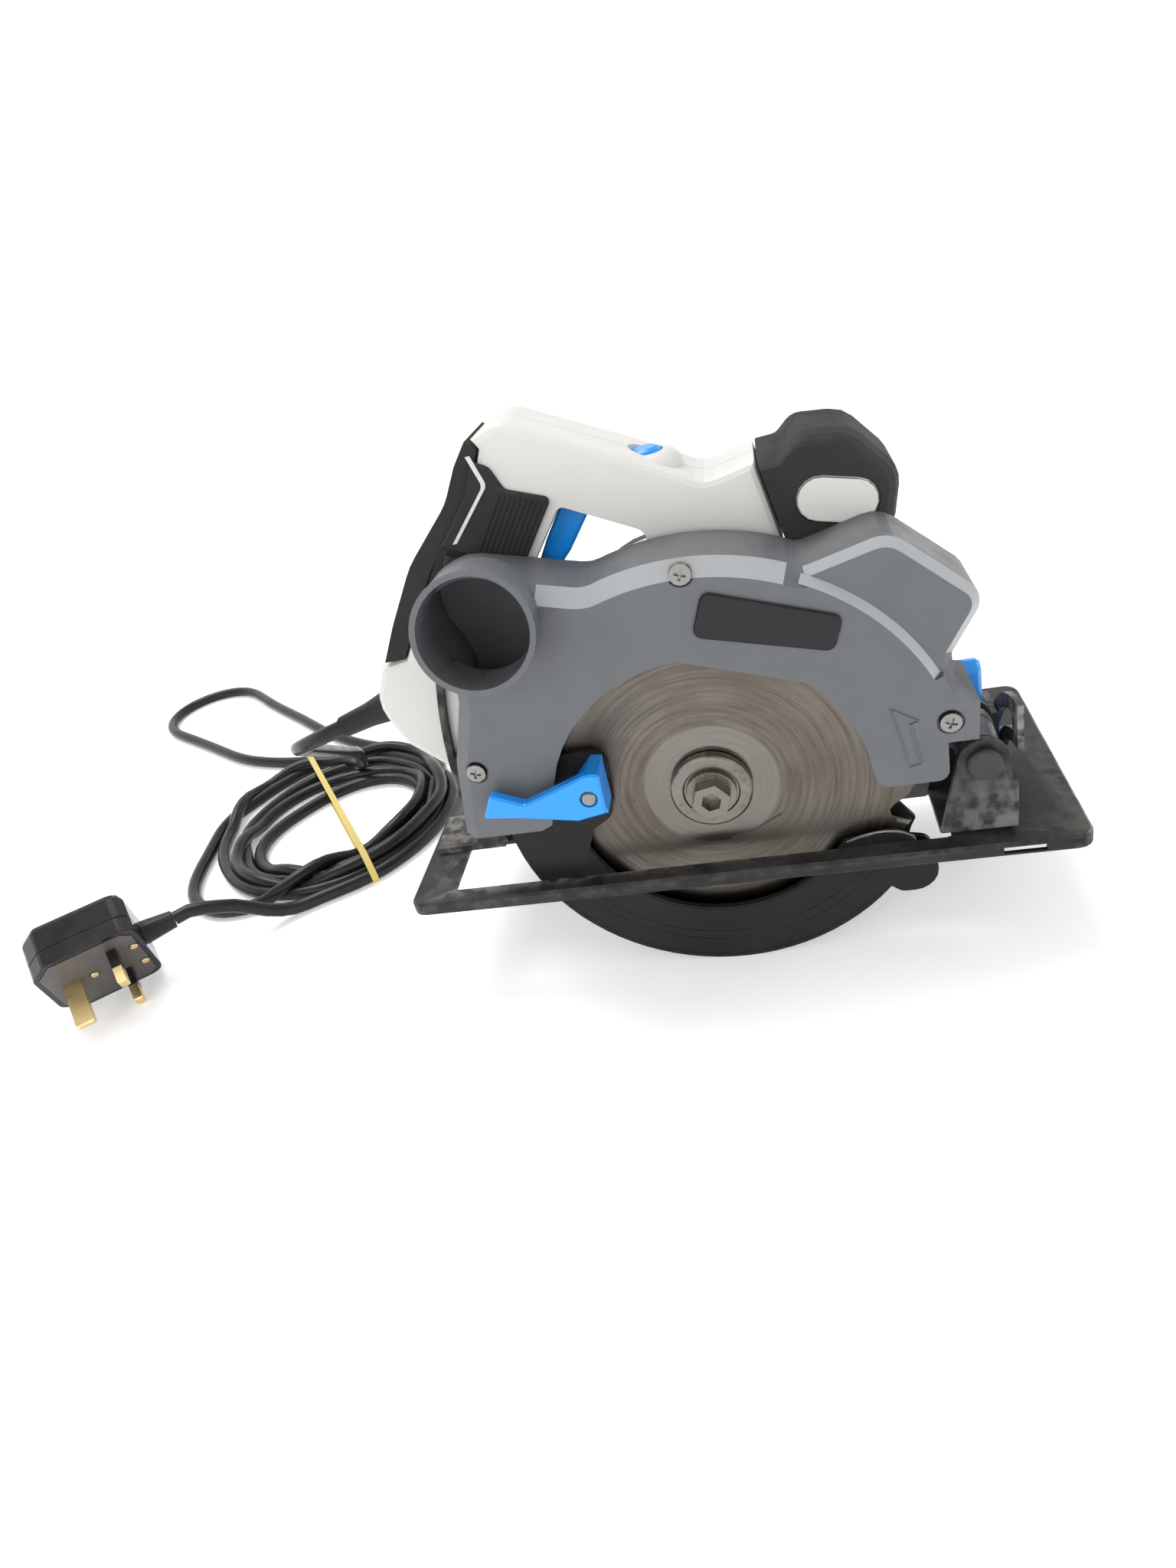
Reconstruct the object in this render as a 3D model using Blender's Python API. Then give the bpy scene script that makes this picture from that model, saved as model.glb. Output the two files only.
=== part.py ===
"""A compact corded circular saw, built the way the real tool is built.

Lengths are written in millimetres and turned into metres by the helpers. The
saw's own frame has its zero at the blade's centre: +X is forward, +Y is the
motor side and +Z is up. The empty saw_origin carries that frame, so that the
scene's zero is the middle of the saw's box, on the surface that it stands on.
"""
import math

import bmesh
import bpy
from mathutils import Matrix, Vector

MM = 0.001

# ---------------------------------------------------------------- driving sizes
GAP = 0.3                  # clearance between pieces that touch
BLADE_R = 75.0
BLADE_HALF = 0.7           # half the blade's thickness
TEETH = 20
WALL = 2.5                 # wall of the moulded shells

GUARD_FACE = -13.0         # outer face of the upper guard
GUARD_BACK = 18.0
CHAMFER = 5.4
BULGE_STEP = 2.6           # how far the bulge over the front is set back from the face
ARCH_R = 58.0              # opening in the guard's face

SWING_R = 80.0             # lower guard, which the saw stands on
SWING_NEAR, SWING_FAR = -6.2, 8.6
FLANK = 2.4                # lower guard's flank and rim

PIVOT = (95.0, 1.0)        # front pivot of the depth setting, x and z
GUIDE_R = (188.5, 201.0)   # rear depth guide, about the front pivot
GUIDE_Y = (18.8, 21.2)
LOCK_ANGLE = 4.0           # lock bolt's place on the guide, degrees above level

SOLE_X = (-128.0, 131.0)
SOLE_Y = (-15.4, 102.7)
SOLE_TOP = -30.3
SHEET = 1.8
SOLE_LIP = 5.2             # height of the sole's folded edge
SLOT_X = (-110.0, 84.0)
SLOT_Y = (-7.5, 24.0)
BEVEL_AXIS = (-6.5, -31.0)  # y and z of the bevel hinge

MOTOR = (-13.6, 26.7)      # motor axis, x and z
MOTOR_R = 40.0
GEAR_TEETH, PINION_TEETH = 38, 8
GEAR_MODULE = 2 * math.hypot(*MOTOR) / (GEAR_TEETH + PINION_TEETH)
CASE_R = (28.8, 18.0)      # gear case about the spindle and about the pinion

HANDLE_Y = (22.0, 38.0, 54.0)   # near face, joint between halves, far face
TRIGGER_PIVOT = (-35.0, 109.0)
PORT_AT = (-65.0, 83.0)    # dust port's axis, x and z, at the guard's face
PORT_R = (18.6, 20.6)

CORD_D = 7.0
CORD_GAP = 0.6             # face to face, where a cord ends on another piece
FLOOR = -SWING_R
LAY = FLOOR + CORD_D / 2 + 0.2
RELIEF_AT = (-127.0, 38.0, 36.0)
RELIEF_DROP = 16.0         # slope of the strain relief, degrees
RELIEF_LENGTH = 28.0
HANK = (-237.0, 144.0, 82.0, 72.0, 111.0)       # centre x and y, half length, half width, turn
HANK_HOLE = (-221.0, 124.0, 46.0, 22.0, 47.0)
HANK_Z = (FLOOR + 1.5, FLOOR + 16.5)
BAND_AT = (-234.9, 145.5)
BAND_TURN = -57.0          # the rubber band's direction across the hank
BAND_REACH = 82.2          # half the band's length
PLUG_AT = (-295.5, -2.5, FLOOR + 21.9)
PLUG_TURN = (-59.0, 0.0, 36.0)

AXIS = (-(SOLE_X[0] + SOLE_X[1]) / 2, -41.0, SWING_R)   # blade's centre in the scene


# ---------------------------------------------------------------- scene and materials
def clear_scene():
    for obj in list(bpy.data.objects):
        bpy.data.objects.remove(obj, do_unlink=True)


def material(name, colour, roughness, metallic=0.0):
    mat = bpy.data.materials.new(name)
    mat.use_nodes = True
    shader = mat.node_tree.nodes["Principled BSDF"]
    shader.inputs["Base Color"].default_value = (*colour, 1.0)
    shader.inputs["Roughness"].default_value = roughness
    shader.inputs["Metallic"].default_value = metallic
    mat.diffuse_color = (*colour, 1.0)
    return mat


clear_scene()
GREY = material("guard_grey", (0.115, 0.122, 0.13), 0.5)
WHITE = material("white_plastic", (0.80, 0.79, 0.76), 0.4)
BLACK = material("black_plastic", (0.02, 0.02, 0.022), 0.45)
RUBBER = material("grip_rubber", (0.035, 0.034, 0.034), 0.75)
BLUE = material("blue_plastic", (0.0, 0.26, 0.75), 0.35)
STEEL = material("steel", (0.5, 0.49, 0.46), 0.3, 1.0)
BLADE_STEEL = material("blade_steel", (0.38, 0.35, 0.31), 0.28, 1.0)
CAST = material("cast_aluminium", (0.55, 0.56, 0.57), 0.45, 1.0)
SOLE_PAINT = material("sole_paint", (0.045, 0.045, 0.047), 0.5)
COPPER = material("copper", (0.72, 0.32, 0.18), 0.35, 1.0)
BRASS = material("brass", (0.72, 0.55, 0.25), 0.3, 1.0)
CARBON = material("carbon", (0.03, 0.03, 0.03), 0.6)
PVC = material("cord_pvc", (0.02, 0.02, 0.02), 0.4)
LATEX = material("rubber_band", (0.62, 0.48, 0.16), 0.55)


def empty(name, at, parent=None, rotation=(0.0, 0.0, 0.0)):
    """A pivot at a place in the saw's frame (mm)."""
    obj = bpy.data.objects.new(name, None)
    bpy.context.collection.objects.link(obj)
    origin = parent["at"] if parent else (0.0, 0.0, 0.0)
    obj["at"] = at
    obj.parent = parent
    obj.location = [(a - o) * MM for a, o in zip(at, origin)]
    obj.rotation_euler = [math.radians(angle) for angle in rotation]
    return obj


ROOT = empty("saw_origin", (0.0, 0.0, 0.0))
ROOT.location = [value * MM for value in AXIS]
ROOT["at"] = (0.0, 0.0, 0.0)
SPINDLE = empty("spindle_axis", (0.0, 0.0, 0.0), ROOT)
ARMATURE = empty("armature_axis", (MOTOR[0], 60.0, MOTOR[1]), ROOT)
SWING = empty("lower_guard_axis", (0.0, 0.0, 0.0), ROOT)
TRIGGER = empty("trigger_axis", (TRIGGER_PIVOT[0], 38.0, TRIGGER_PIVOT[1]), ROOT)
LOCK_OFF = empty("lock_off_axis", (-5.4, 38.0, 114.0), ROOT)
ARBOR_LOCK = empty("arbor_lock_axis", (27.0, 37.8, 14.0), ROOT)
DEPTH = empty("depth_axis", (PIVOT[0], 5.0, PIVOT[1]), ROOT)
BEVEL = empty("bevel_axis", (0.0, *BEVEL_AXIS), ROOT)
BEVEL_LOCK = empty("bevel_lock_axis", (100.0, 30.0, -12.0), ROOT)


def lock_point(radius):
    """A point at the lock bolt's angle on the depth guide."""
    turn = math.radians(LOCK_ANGLE)
    return PIVOT[0] - radius * math.cos(turn), PIVOT[1] + radius * math.sin(turn)


LOCK_AT = lock_point(sum(GUIDE_R) / 2)
DEPTH_LOCK = empty("depth_lock_axis", (LOCK_AT[0], 58.0, LOCK_AT[1]), ROOT)


# ---------------------------------------------------------------- geometry helpers
def place(axis, u, v, along):
    """A point from two coordinates across an axis and one along it."""
    if axis == "X":
        return Vector((along, u, v))
    if axis == "Y":
        return Vector((u, along, v))
    return Vector((u, v, along))


def finish(bm, name, mat, pivot=None, smooth=30.0, cutter=False):
    """Turns a mesh in the saw's frame (mm) into a named object on its pivot."""
    pivot = pivot or ROOT
    bmesh.ops.recalc_face_normals(bm, faces=bm.faces)
    offset = Vector(pivot["at"])
    for vert in bm.verts:
        vert.co = (vert.co - offset) * MM
    mesh = bpy.data.meshes.new(name)
    bm.to_mesh(mesh)
    bm.free()
    mesh.materials.append(mat)
    mesh.shade_smooth()
    mesh.set_sharp_from_angle(angle=math.radians(smooth))
    obj = bpy.data.objects.new(name, mesh)
    bpy.context.collection.objects.link(obj)
    obj.parent = pivot
    if cutter:
        obj.hide_render = True
        obj.display_type = "WIRE"
    return obj


def prism(outline, low, high, axis="Y"):
    """A closed outline, extruded along an axis."""
    bm = bmesh.new()
    near = [bm.verts.new(place(axis, u, v, low)) for u, v in outline]
    far = [bm.verts.new(place(axis, u, v, high)) for u, v in outline]
    bm.faces.new(near)
    bm.faces.new(list(reversed(far)))
    for i in range(len(outline)):
        j = (i + 1) % len(outline)
        bm.faces.new((near[i], far[i], far[j], near[j]))
    return bm


def rounded(bm, width, segments=2, angle=25.0, keep=None, clamp=True):
    """Bevels the edges sharper than an angle, where keep says so."""
    bm.normal_update()
    edges = [edge for edge in bm.edges
             if edge.calc_face_angle(0.0) > math.radians(angle)
             and (keep is None or keep(edge))]
    bmesh.ops.bevel(bm, geom=edges, offset=width, segments=segments, profile=0.5,
                    affect="EDGES", clamp_overlap=clamp)
    return bm


def block(x, y, z):
    return prism([(x[0], z[0]), (x[1], z[0]), (x[1], z[1]), (x[0], z[1])], y[0], y[1])


def ring_profile(outer, inner, low, high):
    return [(inner, low), (outer, low), (outer, high), (inner, high)]


def lathe(profile, centre=(0.0, 0.0), axis="Y", steps=48, squash=(1.0, 1.0)):
    """A closed outline of (radius, along) turned about an axis."""
    bm = bmesh.new()
    loops = []
    for radius, along in profile:
        if radius <= 0.0:
            loops.append([bm.verts.new(place(axis, centre[0], centre[1], along))])
            continue
        loop = []
        for k in range(steps):
            turn = 2 * math.pi * k / steps
            u = centre[0] + radius * squash[0] * math.cos(turn)
            v = centre[1] + radius * squash[1] * math.sin(turn)
            loop.append(bm.verts.new(place(axis, u, v, along)))
        loops.append(loop)
    for i, loop in enumerate(loops):
        other = loops[(i + 1) % len(loops)]
        if len(loop) == 1 and len(other) == 1:
            continue
        for k in range(steps):
            j = (k + 1) % steps
            if len(loop) == 1:
                bm.faces.new((loop[0], other[k], other[j]))
            elif len(other) == 1:
                bm.faces.new((loop[k], other[0], loop[j]))
            else:
                bm.faces.new((loop[k], other[k], other[j], loop[j]))
    return bm


def rod(radius, low, high, centre=(0.0, 0.0), axis="Y", steps=24):
    return lathe([(0.0, low), (radius, low), (radius, high), (0.0, high)], centre, axis, steps)


def tube(outer, inner, low, high, centre=(0.0, 0.0), axis="Y", steps=48):
    return lathe(ring_profile(outer, inner, low, high), centre, axis, steps)


def boolean(obj, tool, operation="DIFFERENCE"):
    modifier = obj.modifiers.new(f"{operation.lower()}_{tool.name}", "BOOLEAN")
    modifier.operation = operation
    modifier.solver = "EXACT"
    modifier.object = tool


def cut(obj, bm, label, pivot=None):
    tool = finish(bm, f"cutter_{obj.name}_{label}", STEEL, pivot, cutter=True)
    boolean(obj, tool)


def join(obj, bm, label, pivot=None):
    tool = finish(bm, f"cutter_{obj.name}_{label}", STEEL, pivot, cutter=True)
    boolean(obj, tool, "UNION")


def arc(centre, radius, start, end, steps):
    """Points on an arc, angles in degrees, both ends included."""
    points = []
    for k in range(steps + 1):
        turn = math.radians(start + (end - start) * k / steps)
        points.append((centre[0] + radius * math.cos(turn), centre[1] + radius * math.sin(turn)))
    return points


def band(centre, inner, outer, start, end, steps):
    """A ring sector's outline."""
    return arc(centre, outer, start, end, steps) + arc(centre, inner, end, start, steps)


def turned(corners, step=18.0):
    """An outline whose corners with a third number are turned to that radius."""
    points = []
    for i, corner in enumerate(corners):
        if len(corner) == 2:
            points.append(corner)
            continue
        here = Vector(corner[:2])
        back = (Vector(corners[i - 1][:2]) - here).normalized()
        ahead = (Vector(corners[(i + 1) % len(corners)][:2]) - here).normalized()
        half = back.angle(ahead) / 2
        centre = here + (back + ahead).normalized() * corner[2] / math.sin(half)
        start = here + back * corner[2] / math.tan(half) - centre
        end = here + ahead * corner[2] / math.tan(half) - centre
        first = math.degrees(math.atan2(start.y, start.x))
        sweep = math.degrees(math.atan2(end.y, end.x)) - first
        sweep = (sweep + 180.0) % 360.0 - 180.0
        points += arc(centre, corner[2], first, first + sweep, max(2, round(abs(sweep) / step)))
    return points


def slot_outline(start, end, half, steps=6):
    """A straight slot with round ends."""
    turn = math.degrees(math.atan2(end[1] - start[1], end[0] - start[0]))
    return arc(start, half, turn + 90, turn + 270, steps) + arc(end, half, turn - 90, turn + 90, steps)


def inset(outline, distance):
    """A counter-clockwise outline moved inwards by a distance."""
    moved = []
    count = len(outline)
    for i in range(count):
        before = Vector(outline[i - 1])
        here = Vector(outline[i])
        after = Vector(outline[(i + 1) % count])
        first = (here - before).normalized()
        second = (after - here).normalized()
        normal = (Vector((-first.y, first.x)) + Vector((-second.y, second.x))).normalized()
        spread = max(0.35, normal.dot(Vector((-first.y, first.x))))
        moved.append(tuple(here + normal * distance / spread))
    return moved


def smooth_route(points, spacing):
    """Evenly spaced points on a smooth curve through the given ones."""
    nodes = [Vector(p) for p in points]
    nodes = [2 * nodes[0] - nodes[1]] + nodes + [2 * nodes[-1] - nodes[-2]]
    dense = []
    for i in range(1, len(nodes) - 2):
        p0, p1, p2, p3 = nodes[i - 1:i + 3]
        for k in range(24):
            t = k / 24
            dense.append(0.5 * (2 * p1 + (p2 - p0) * t + (2 * p0 - 5 * p1 + 4 * p2 - p3) * t * t
                                + (3 * p1 - p0 - 3 * p2 + p3) * t ** 3))
    dense.append(nodes[-2])
    length = sum((b - a).length for a, b in zip(dense, dense[1:]))
    count = max(2, round(length / spacing))
    wanted = [length * k / count for k in range(count + 1)]
    result = [dense[0]]
    travelled = 0.0
    step = 1
    for a, b in zip(dense, dense[1:]):
        reach = (b - a).length
        while step < count and travelled + reach >= wanted[step]:
            result.append(a.lerp(b, (wanted[step] - travelled) / reach))
            step += 1
        travelled += reach
    result.append(dense[-1])
    return result


def cord(name, route, diameter, spacing, mat=PVC, sides=2):
    curve = bpy.data.curves.new(name, "CURVE")
    curve.dimensions = "3D"
    curve.bevel_depth = diameter / 2 * MM
    curve.bevel_resolution = sides
    curve.use_fill_caps = True
    spline = curve.splines.new("POLY")
    points = smooth_route(route, spacing)
    spline.points.add(len(points) - 1)
    for point, co in zip(spline.points, points):
        point.co = (*(co * MM), 1.0)
    curve.materials.append(mat)
    obj = bpy.data.objects.new(name, curve)
    bpy.context.collection.objects.link(obj)
    obj.parent = ROOT
    return obj


# ---------------------------------------------------------------- upper guard
TOP_R = 91.6
BULGE = [(86.0, 44.0, 4.0), (97.2, 62.6, 8.0), (69.0, 88.2, 11.0), (41.0, 81.3, 7.0)]
PORT_SHOULDER = [(-29.0, 86.8, 12.0), (-72.5, 98.6, 17.0), (-89.0, 92.0, 10.0), (-88.0, 76.0, 9.0),
                 (-80.5, 60.0, 20.0), (-91.5, 28.0, 30.0), (-96.5, -3.0)]
CHAMFERED = turned([(86.0, 29.5)] + BULGE + arc((0.0, 0.0), TOP_R, 66, 105, 9) + PORT_SHOULDER)
GUARD_TOP = [(83.0, 13.0), (93.0, 13.0), (93.5, 27.5)] + CHAMFERED
FRONT_LEG = turned([(57.4, 8.0), (59.0, -2.0, 5.0), (83.0, -2.0, 4.0), (83.0, 13.0)])[1:-1]
REAR_LEG = [(-65.0, -3.0), (-60.5, -1.0)]
GUARD_SCREWS = {"top": (3.8, 88.0), "front": (84.0, 21.0), "rear": (-83.0, 26.0)}


def guard_outline():
    """The cover's side view: its top edge, two legs and the arch over the blade."""
    arch = [(-56.5, 14.0)]
    arch += arc((0.0, 0.0), ARCH_R, 155, 93, 8)
    arch += arc((0.0, 0.0), ARCH_R, 48, 8, 6)
    return FRONT_LEG + GUARD_TOP + REAR_LEG + arch


def guard_cavity():
    """The room inside the skirt, open at the arch and under the legs."""
    skirt = GUARD_TOP[:]
    outer = inset(FRONT_LEG[-1:] + skirt + REAR_LEG[:1], WALL)
    outer = outer[1:-1]
    return [(outer[0][0], -20.0)] + outer + [(outer[-1][0], -20.0)]


def make_guard_cover():
    bm = prism(guard_outline(), GUARD_FACE, GUARD_BACK)
    top_edge = {(round(x, 2), round(z, 2)) for x, z in CHAMFERED}

    def on_top_front(edge):
        ends = [(round(v.co.x, 2), round(v.co.z, 2)) for v in edge.verts]
        flat = all(abs(v.co.y - GUARD_FACE) < 0.01 for v in edge.verts)
        return flat and all(end in top_edge for end in ends)

    rounded(bm, CHAMFER, segments=1, keep=on_top_front, clamp=False)
    cover = finish(bm, "guard_cover", GREY)
    port_turn = Matrix.Rotation(math.radians(-9.0), 4, "X") @ Matrix.Rotation(math.radians(6.0), 4, "Z")

    def port(bm_part):
        bmesh.ops.transform(bm_part, matrix=port_turn, verts=bm_part.verts)
        bmesh.ops.translate(bm_part, vec=(PORT_AT[0], GUARD_FACE, PORT_AT[1]), verts=bm_part.verts)
        return bm_part

    join(cover, port(rod(PORT_R[1], -17.0, 8.0, steps=40)), "port_tube")
    cut(cover, bulge_cutter(), "bulge")
    cut(cover, prism(guard_cavity(), GUARD_FACE + BULGE_STEP + WALL, GUARD_BACK + 5.0), "cavity")
    room = arc((0.0, 0.0), TOP_R - 8.0, 10, 150, 16) + [(-70.0, 20.0), (-70.0, -20.0), (78.0, -20.0)]
    cut(cover, prism(room, GUARD_FACE + WALL, GUARD_FACE + BULGE_STEP + WALL + 1.0), "face_room")
    cut(cover, port(rod(PORT_R[0], -30.0, 10.5, steps=40)), "port_bore")
    cut(cover, prism(inset(front_lug(), -0.5), 11.5, GUARD_BACK + 5.0), "lug_notch")
    for label, (x, z) in GUARD_SCREWS.items():
        cut(cover, rod(4.6, GUARD_FACE - 5.0, GUARD_FACE + 1.2, (x, z), steps=20), f"{label}_sink")
        cut(cover, rod(2.2, GUARD_FACE, GUARD_FACE + 9.0, (x, z), steps=12), f"{label}_hole")


def bulge_cutter():
    """What sets the bulge's face back, with a sloping step on an arc about the blade."""
    bm = bmesh.new()
    loops = []
    for y in (GUARD_FACE - 4.0, GUARD_FACE + BULGE_STEP):
        inner = TOP_R - 1.2 + (y - GUARD_FACE - BULGE_STEP)
        outline = band((0.0, 0.0), inner, 125.0, 25.0, 63.5, 12)
        loops.append([bm.verts.new((x, y, z)) for x, z in outline])
    bm.faces.new(loops[0])
    bm.faces.new(list(reversed(loops[1])))
    for i, vert in enumerate(loops[0]):
        bm.faces.new((loops[0][i - 1], loops[1][i - 1], loops[1][i], vert))
    return bm


def make_guard_screws():
    for label, (x, z) in GUARD_SCREWS.items():
        head = GUARD_FACE + 1.2 - GAP
        profile = [(0.0, head - 2.4), (3.6, head - 1.9), (3.9, head), (1.9, head),
                   (1.9, head + 7.0), (0.0, head + 7.0)]
        screw = finish(lathe(profile, (x, z), steps=16), f"guard_screw_{label}", STEEL)
        for angle in (0.0, 90.0):
            bm = block((-2.0, 2.0), (head - 4.0, head - 1.2), (-0.45, 0.45))
            bmesh.ops.rotate(bm, matrix=Matrix.Rotation(math.radians(angle + 20.0), 3, "Y"), verts=bm.verts)
            bmesh.ops.translate(bm, vec=(x, 0.0, z), verts=bm.verts)
            cut(screw, bm, f"cross_{int(angle)}")


def make_label_plate():
    corners = turned([(3.8, 66.0, 3.0), (48.8, 53.4, 3.0), (52.8, 65.4, 3.0), (9.4, 81.2, 3.0)], 30.0)
    bm = prism(corners, GUARD_FACE - 1.5, GUARD_FACE - GAP)
    finish(rounded(bm, 0.5, 1, keep=lambda e: all(v.co.y < GUARD_FACE - 1.0 for v in e.verts)),
           "label_plate", BLACK)


def front_lug():
    """Side view of the lug that reaches forward to the depth pivot."""
    return [(72.0, 26.0), (72.0, 4.0), (90.0, -6.0)] + arc(PIVOT, 8.0, 250, 420, 12) + [(92.0, 11.0)]


def make_guard_back():
    """The inner guard: the plate that carries the gear case and the front lug."""
    edge = inset(CHAMFERED, WALL + GAP)[1:-1]
    bottom = [(-63.0, 4.0), (-40.0, -24.0), (42.0, -24.0), (64.0, -26.5), (78.5, -26.5), (80.0, -20.0),
              (80.0, 29.0), (82.5, 31.0)]
    plate = finish(prism(bottom + edge, 15.0, 17.7), "guard_back", GREY)
    cut(plate, rod(20.0, 10.0, 25.0, steps=28), "collar_hole")
    join(plate, prism(front_lug(), 12.0, 17.4), "lug")
    join(plate, rod(7.6, -3.0, 16.0, PIVOT, steps=20), "pivot_boss")
    cut(plate, rod(4.3, -10.0, 25.0, PIVOT, steps=18), "pivot_bore")


# ---------------------------------------------------------------- gear case and motor
def gear_case_hull(grow=0.0):
    """Side view of the case: a circle about each of its two shafts, joined by tangents."""
    line = math.degrees(math.atan2(MOTOR[1], MOTOR[0]))
    spread = math.degrees(math.acos((CASE_R[0] - CASE_R[1]) / math.hypot(*MOTOR)))
    return (arc((0.0, 0.0), CASE_R[0] + grow, line + spread, line - spread + 360, 18)
            + arc(MOTOR, CASE_R[1] + grow, line - spread, line + spread, 10))


def make_gear_case():
    hull = gear_case_hull()
    case = finish(prism(hull, 18.0, 40.0), "gear_case", CAST)
    join(case, rod(18.0, 5.4, 20.0, steps=32), "collar")
    cut(case, prism(gear_case_hull(-2.0), 24.5, 45.0), "gear_room")
    cut(case, rod(13.3, 14.6, 30.0, steps=24), "bearing_seat")
    cut(case, rod(9.0, 0.0, 20.0, steps=20), "spindle_bore")
    cut(case, block((12.0, 45.0), (36.0, 39.6), (10.7, 17.3)), "lock_hole")


def make_bearing(name, outer, inner, low, high, centre):
    finish(tube(outer, inner, low, high, centre, steps=24), name, STEEL)


def make_motor_housing():
    inner = MOTOR_R - WALL
    profile = [(11.4, 40.4), (MOTOR_R, 40.4), (MOTOR_R, 100.0), (inner, 100.0), (inner, 43.0), (14.0, 43.0),
               (14.0, 48.0), (11.4, 48.0)]
    barrel = finish(lathe(profile, MOTOR, steps=40), "motor_housing", WHITE)
    for k in range(4):
        turn = math.radians(-70.0 + 20.0 * k)
        x = MOTOR[0] + MOTOR_R * math.cos(turn)
        z = MOTOR[1] + MOTOR_R * math.sin(turn)
        cut(barrel, block((x - 3.5, x + 3.5), (49.0, 52.0), (z - 6.0, z + 6.0)), f"vent_{k}")


def make_motor_end_cap():
    low, high = 100.3, 112.0
    bm = lathe([(MOTOR_R - 3.0, low), (MOTOR_R, low), (MOTOR_R, high - 5.0), (MOTOR_R - 5.0, high),
                (0.0, high), (0.0, high - WALL), (MOTOR_R - 6.0, high - WALL),
                (MOTOR_R - 3.0, high - 6.0)], MOTOR, steps=40)
    cap = finish(bm, "motor_end_cap", BLACK)
    join(cap, tube(13.5, 11.4, 101.5, high - 1.0, MOTOR, steps=24), "bearing_seat")
    for k in range(-2, 3):
        x = MOTOR[0] + 9.0 * k
        reach = 27.0 - 3.0 * abs(k)
        for side in (-1, 1):
            low_z, high_z = sorted((MOTOR[1] + side * 15.5, MOTOR[1] + side * reach))
            cut(cap, block((x - 1.6, x + 1.6), (high - 6.0, high + 4.0), (low_z, high_z)),
                f"vent_{k + 2}_{side + 1}")


def make_stator():
    core = finish(tube(36.6, 22.0, 60.0, 86.0, MOTOR, steps=28), "stator_core", STEEL)
    for side in (-1, 1):
        cut(core, block((MOTOR[0] - 8.0, MOTOR[0] + 8.0), (55.0, 90.0),
                        sorted((MOTOR[1] + side * 20.0, MOTOR[1] + side * 29.0))), f"slot_{side + 1}")
    winding = finish(field_ring(55.6, 59.7), "field_winding", COPPER)
    join(winding, field_ring(86.3, 90.2), "rear_end")
    for side in (-1, 1):
        join(winding, block((MOTOR[0] - 7.4, MOTOR[0] + 7.4), (57.0, 88.0),
                            sorted((MOTOR[1] + side * 23.6, MOTOR[1] + side * 28.4))), f"side_{side + 1}")


def field_ring(low, high):
    """The end turns of the field winding, at one end of the stator."""
    profile = [(23.0, low + 1.0), (24.0, low), (33.0, low), (34.0, low + 1.0), (34.0, high), (23.0, high)]
    return lathe(profile, MOTOR, steps=20)


def make_brushes():
    ring = finish(tube(36.8, 14.5, 92.0, 96.5, MOTOR, steps=28), "brush_ring", BLACK)
    for name, side in (("brush_upper", 1), ("brush_lower", -1)):
        inner, outer = sorted((MOTOR[1] + side * 10.5, MOTOR[1] + side * 24.0))
        finish(block((MOTOR[0] - 3.0, MOTOR[0] + 3.0), (92.6, 95.6), (inner, outer)), name, CARBON)
        cut(ring, block((MOTOR[0] - 3.3, MOTOR[0] + 3.3), (92.3, 99.0),
                        sorted((MOTOR[1] + side * 8.0, MOTOR[1] + side * 24.3))), name)


def gear_outline(teeth, module, phase, thickness=0.40):
    """A spur gear's side view, with straight flanks and free play."""
    pitch = teeth * module / 2
    outer, root = pitch + 0.75 * module, pitch - 1.15 * module
    step = 360.0 / teeth
    points = []
    for k in range(teeth):
        middle = phase + k * step
        for radius, spread in ((root, -1.55), (outer, -0.5), (outer, 0.5), (root, 1.55)):
            turn = math.radians(middle + spread * thickness * step / 2)
            points.append((radius * math.cos(turn), radius * math.sin(turn)))
    return points


def make_armature():
    towards = math.degrees(math.atan2(-MOTOR[1], -MOTOR[0]))
    half_tooth = 180.0 / PINION_TEETH
    pinion = [(MOTOR[0] + x, MOTOR[1] + z)
              for x, z in gear_outline(PINION_TEETH, GEAR_MODULE, towards + half_tooth)]
    shaft = finish(rod(4.0, 26.0, 108.0, MOTOR, steps=24), "armature_shaft", STEEL, ARMATURE)
    join(shaft, prism(pinion, 26.5, 36.5), "pinion", ARMATURE)
    core = finish(tube(20.8, 4.3, 58.0, 88.0, MOTOR, steps=28), "armature_core", STEEL, ARMATURE)
    for k in range(8):
        turn = 2 * math.pi * k / 8
        bm = block((-1.0, 1.0), (50.0, 95.0), (16.0, 24.0))
        bmesh.ops.rotate(bm, matrix=Matrix.Rotation(turn, 3, "Y"), verts=bm.verts)
        bmesh.ops.translate(bm, vec=(MOTOR[0], 0.0, MOTOR[1]), verts=bm.verts)
        cut(core, bm, f"slot_{k}", ARMATURE)
    finish(tube(10.0, 4.3, 91.0, 99.0, MOTOR, steps=20), "commutator", COPPER, ARMATURE)
    fan = finish(tube(33.0, 4.3, 53.0, 54.6, MOTOR, steps=24), "cooling_fan", BLACK, ARMATURE)
    for k in range(8):
        turn = 2 * math.pi * k / 8
        bm = block((-0.7, 0.7), (48.9, 53.4), (16.0, 32.0))
        bmesh.ops.rotate(bm, matrix=Matrix.Rotation(turn, 3, "Y"), verts=bm.verts)
        bmesh.ops.translate(bm, vec=(MOTOR[0], 0.0, MOTOR[1]), verts=bm.verts)
        join(fan, bm, f"blade_{k}", ARMATURE)


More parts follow.
